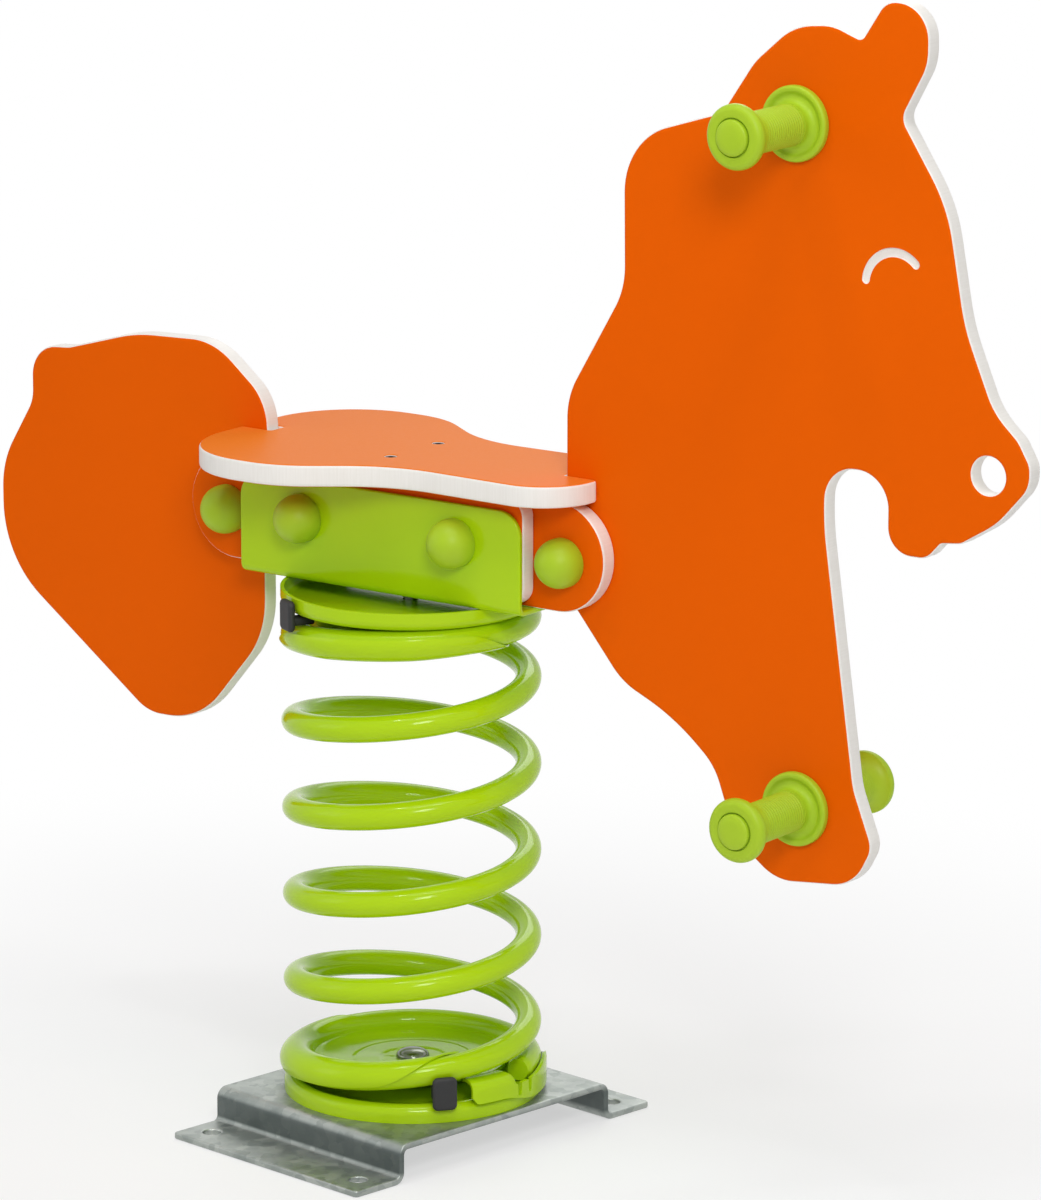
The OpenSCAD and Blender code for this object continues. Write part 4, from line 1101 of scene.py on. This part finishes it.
rib_far = np.linspace(0, 1, RIBS * 10 + 1)
rib_wave = 1 - np.abs(np.sin(np.pi * RIBS * rib_far)) ** 0.5
rib_left = 1 - smooth(rib_far, RIB_FADE, 1)
shaft = np.column_stack([SHAFT_R - RIB_DEEP * rib_wave * rib_left, RIBS_FROM + rib_far * (RIBS_TO - RIBS_FROM)])
foot, _ = arcs([[BORE_R, FACE_GAP, 0], [FLANGE_R, FACE_GAP, 1.5], [FLANGE_R, FLANGE_T, 2.5],
    [FLANGE_R - 4, FLANGE_T, 2.5], [FLANGE_R - 6.5, FLANGE_T - FLANGE_DISH, 3],
    [SHAFT_R, FLANGE_T - FLANGE_DISH, 5.5], [SHAFT_R, RIBS_FROM - 0.5, 0]], closed=False)
tip, _ = arcs([[SHAFT_R, RIBS_TO + 0.5, 0], [SHAFT_R + 0.5, GRIP_LEN - 11, 12], [END_R, GRIP_LEN - 8, 2.5],
    [END_R, GRIP_LEN, 5], [14.4, GRIP_LEN, 0.6], [14.2, RECESS, 0.3], [11.5, RECESS, 0],
    [11.5, BORE_END, 0], [BORE_R, BORE_END, 0]], closed=False)
grip_profile = np.vstack([foot, shaft, tip, foot[:1]])
plug_profile = np.vstack([[[0, -3], [PLUG_STEM, -3], [PLUG_STEM, -1.9], [PLUG_R - 0.2, -1.9], [PLUG_R, -1.7]],
    dome(PLUG_R, 1, PLUG_H, 0.6, 14)])

for name, at in (("handle", HANDLE), ("footrest", FOOTREST)):
    for side, word in SIDES:
        make_piece(f"{name}_moulding_{word}", [revolved(grip_profile, across_horse(at, PANEL_T / 2, side), 72)],
            *LIME_PLASTIC, [f"{name}_grip_{word}"])
    plugs = [revolved(plug_profile, across_horse(at, PANEL_T / 2 + GRIP_LEN, side)) for side in (-1, 1)]
    make_piece(f"{name}_plugs", plugs, *LIME_PLASTIC, [f"{name}_caps"])

# %% [markdown]
# ## Fasteners that stay as the CAD made them
# Nuts, washers, rods and bolts are hardly seen, and their CAD shapes are already right, so they keep their
# meshes and only get the plated steel.

# %% Plated nodes
PLATED_NODES = [
    "lower_clamp_washer", "lower_clamp_nut", "upper_clamp_washer", "upper_clamp_nut",
    "bracket_bolts", "link_bolts", "bolt_washers", "bolt_nuts", "handle_rod", "handle_nuts",
    "footrest_rod", "footrest_nuts",
]
for name in PLATED_NODES:
    for material_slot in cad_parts[name].material_slots:
        material_slot.material = zinc_plated_shaded
print(len(PLATED_NODES), "CAD nodes plated")

# %% [markdown]
# ## Camera, floor and light
# The camera stands where the photograph was taken from: in front, to the horse's right, slightly above it,
# with a long lens. The background is white because the world and the floor are white to the camera and in
# reflections. The light on the object stays plain: a soft sky and six lamps. The floor keeps the object's
# shadow near it and fades to white further out.

# %% Camera
CAMERA_AT = (2.9202, -3.8659, 1.5619)
AZIMUTH, DOWN = np.radians(36.076), np.radians(13.279)
LENS, SENSOR = 195.23, 36


def aim(thing, at, ahead):
    """Puts a camera or a lamp at a place and turns its own -Z axis along a vector, with Y up."""
    thing.location = at
    thing.rotation_mode = "QUATERNION"
    thing.rotation_quaternion = ahead.to_track_quat("-Z", "Y")


camera = put("camera", bpy.data.cameras.new("camera"))
ahead = Vector((-np.sin(AZIMUTH) * np.cos(DOWN), np.cos(AZIMUTH) * np.cos(DOWN), -np.sin(DOWN)))
aim(camera, CAMERA_AT, ahead)
camera.data.sensor_width = SENSOR
camera.data.lens = LENS
bpy.context.scene.camera = camera
bpy.context.scene.view_settings.view_transform = "Standard"
print("camera:", LENS, "mm lens,", round(Vector(CAMERA_AT).length, 2), "m from the floor's middle")

# %% World and lamps
SKY = 0.4
WHITE = "#FFFFFF"
LAMPS_AIM = Vector((0.05, 0, 0.45))


def seen(tree):
    """1 on rays from the camera, a reflection or through glass, which see the background, and 0 on rays
    that carry its light to the object: the largest of the three."""
    path = add(tree, "LightPath", {})
    either = path["Is Camera Ray"]
    for ray in ("Is Glossy Ray", "Is Transmission Ray"):
        either = add(tree, "Math", {0: either, 1: path[ray]}, operation="MAXIMUM")[0]
    return either


world = bpy.data.worlds.new("studio")
bpy.context.scene.world = world
world.use_nodes = True
tree = world.node_tree
sky = add(tree, "MapRange", {"Value": seen(tree), "To Min": SKY, "To Max": 1})
fill(tree, tree.nodes["Background"], {"Strength": sky[0], "Color": linear(WHITE)})


def soft_lamp(name, at, size, watts):
    """A rectangular lamp (width, height) at a place, turned towards the middle of the horse."""
    data = bpy.data.lights.new(name, "AREA")
    data.shape = "RECTANGLE"
    data.size, data.size_y = size
    data.energy = watts
    aim(put(name, data), at, LAMPS_AIM - Vector(at))
    print(f"{name}: {watts} W")


soft_lamp("key_from_the_front", (2.1, -2.3, 2.3), (0.9, 0.9), 44)
soft_lamp("light_from_above", (0.3, -0.4, 3.2), (1.5, 1.5), 11)
soft_lamp("strip_from_above", (0.9, -0.7, 2.85), (1.2, 0.07), 8)
soft_lamp("small_from_above", (-0.2, -0.9, 2.9), (0.22, 0.22), 5)
soft_lamp("fill_from_left", (-2.4, -2.2, 1.6), (1.6, 1.6), 8)
soft_lamp("rim_from_behind", (-1.0, 2.4, 2.2), (1.4, 1.4), 14)

# %% Floor
FLOOR_RINGS = (0.001, 0.5, 1, 2, 6)
FLOOR_DROP = 0.2
FADE_FROM, FADE_TO = 0.25, 1.1
NEAR_WHITE = 0.55
FLOOR_GREY = (0.9, 0.9, 0.9, 1)  # already in linear light

turn = np.arange(0, 360, 7.5)
disc = joined(np.array(FLOOR_RINGS) / MM, -FLOOR_DROP)
points, quads, _ = grid(round_the_axis(turn, np.broadcast_to(disc, (len(turn), *disc.shape))), wrap_rows=True)
floor_mesh = bpy.data.meshes.new("floor")
floor_mesh.from_pydata(points * MM, [], quads.tolist())
floor_object = put("floor", floor_mesh)

floor_paint, tree, shader, place = start_material("pale_floor")
fill(tree, shader, {"Base Color": FLOOR_GREY, "Roughness": 0.9})
far = add(tree, "VectorMath", {0: place}, operation="LENGTH")
fade = add(tree, "MapRange", {"Value": far["Value"], "From Min": FADE_FROM, "From Max": FADE_TO,
    "To Min": NEAR_WHITE, "To Max": 1}, interpolation_type="SMOOTHSTEP")
glow = add(tree, "Math", {0: seen(tree), 1: fade[0]}, operation="MULTIPLY")
white = add(tree, "Emission", {"Color": linear(WHITE), "Strength": 1})
mixed = add(tree, "MixShader", {0: glow[0], 1: shader.outputs[0], 2: white[0]})
fill(tree, tree.nodes["Material Output"], {"Surface": mixed[0]})
floor_mesh.materials.append(floor_paint)
print("floor:", len(quads), "faces, white beyond", FADE_TO, "m")
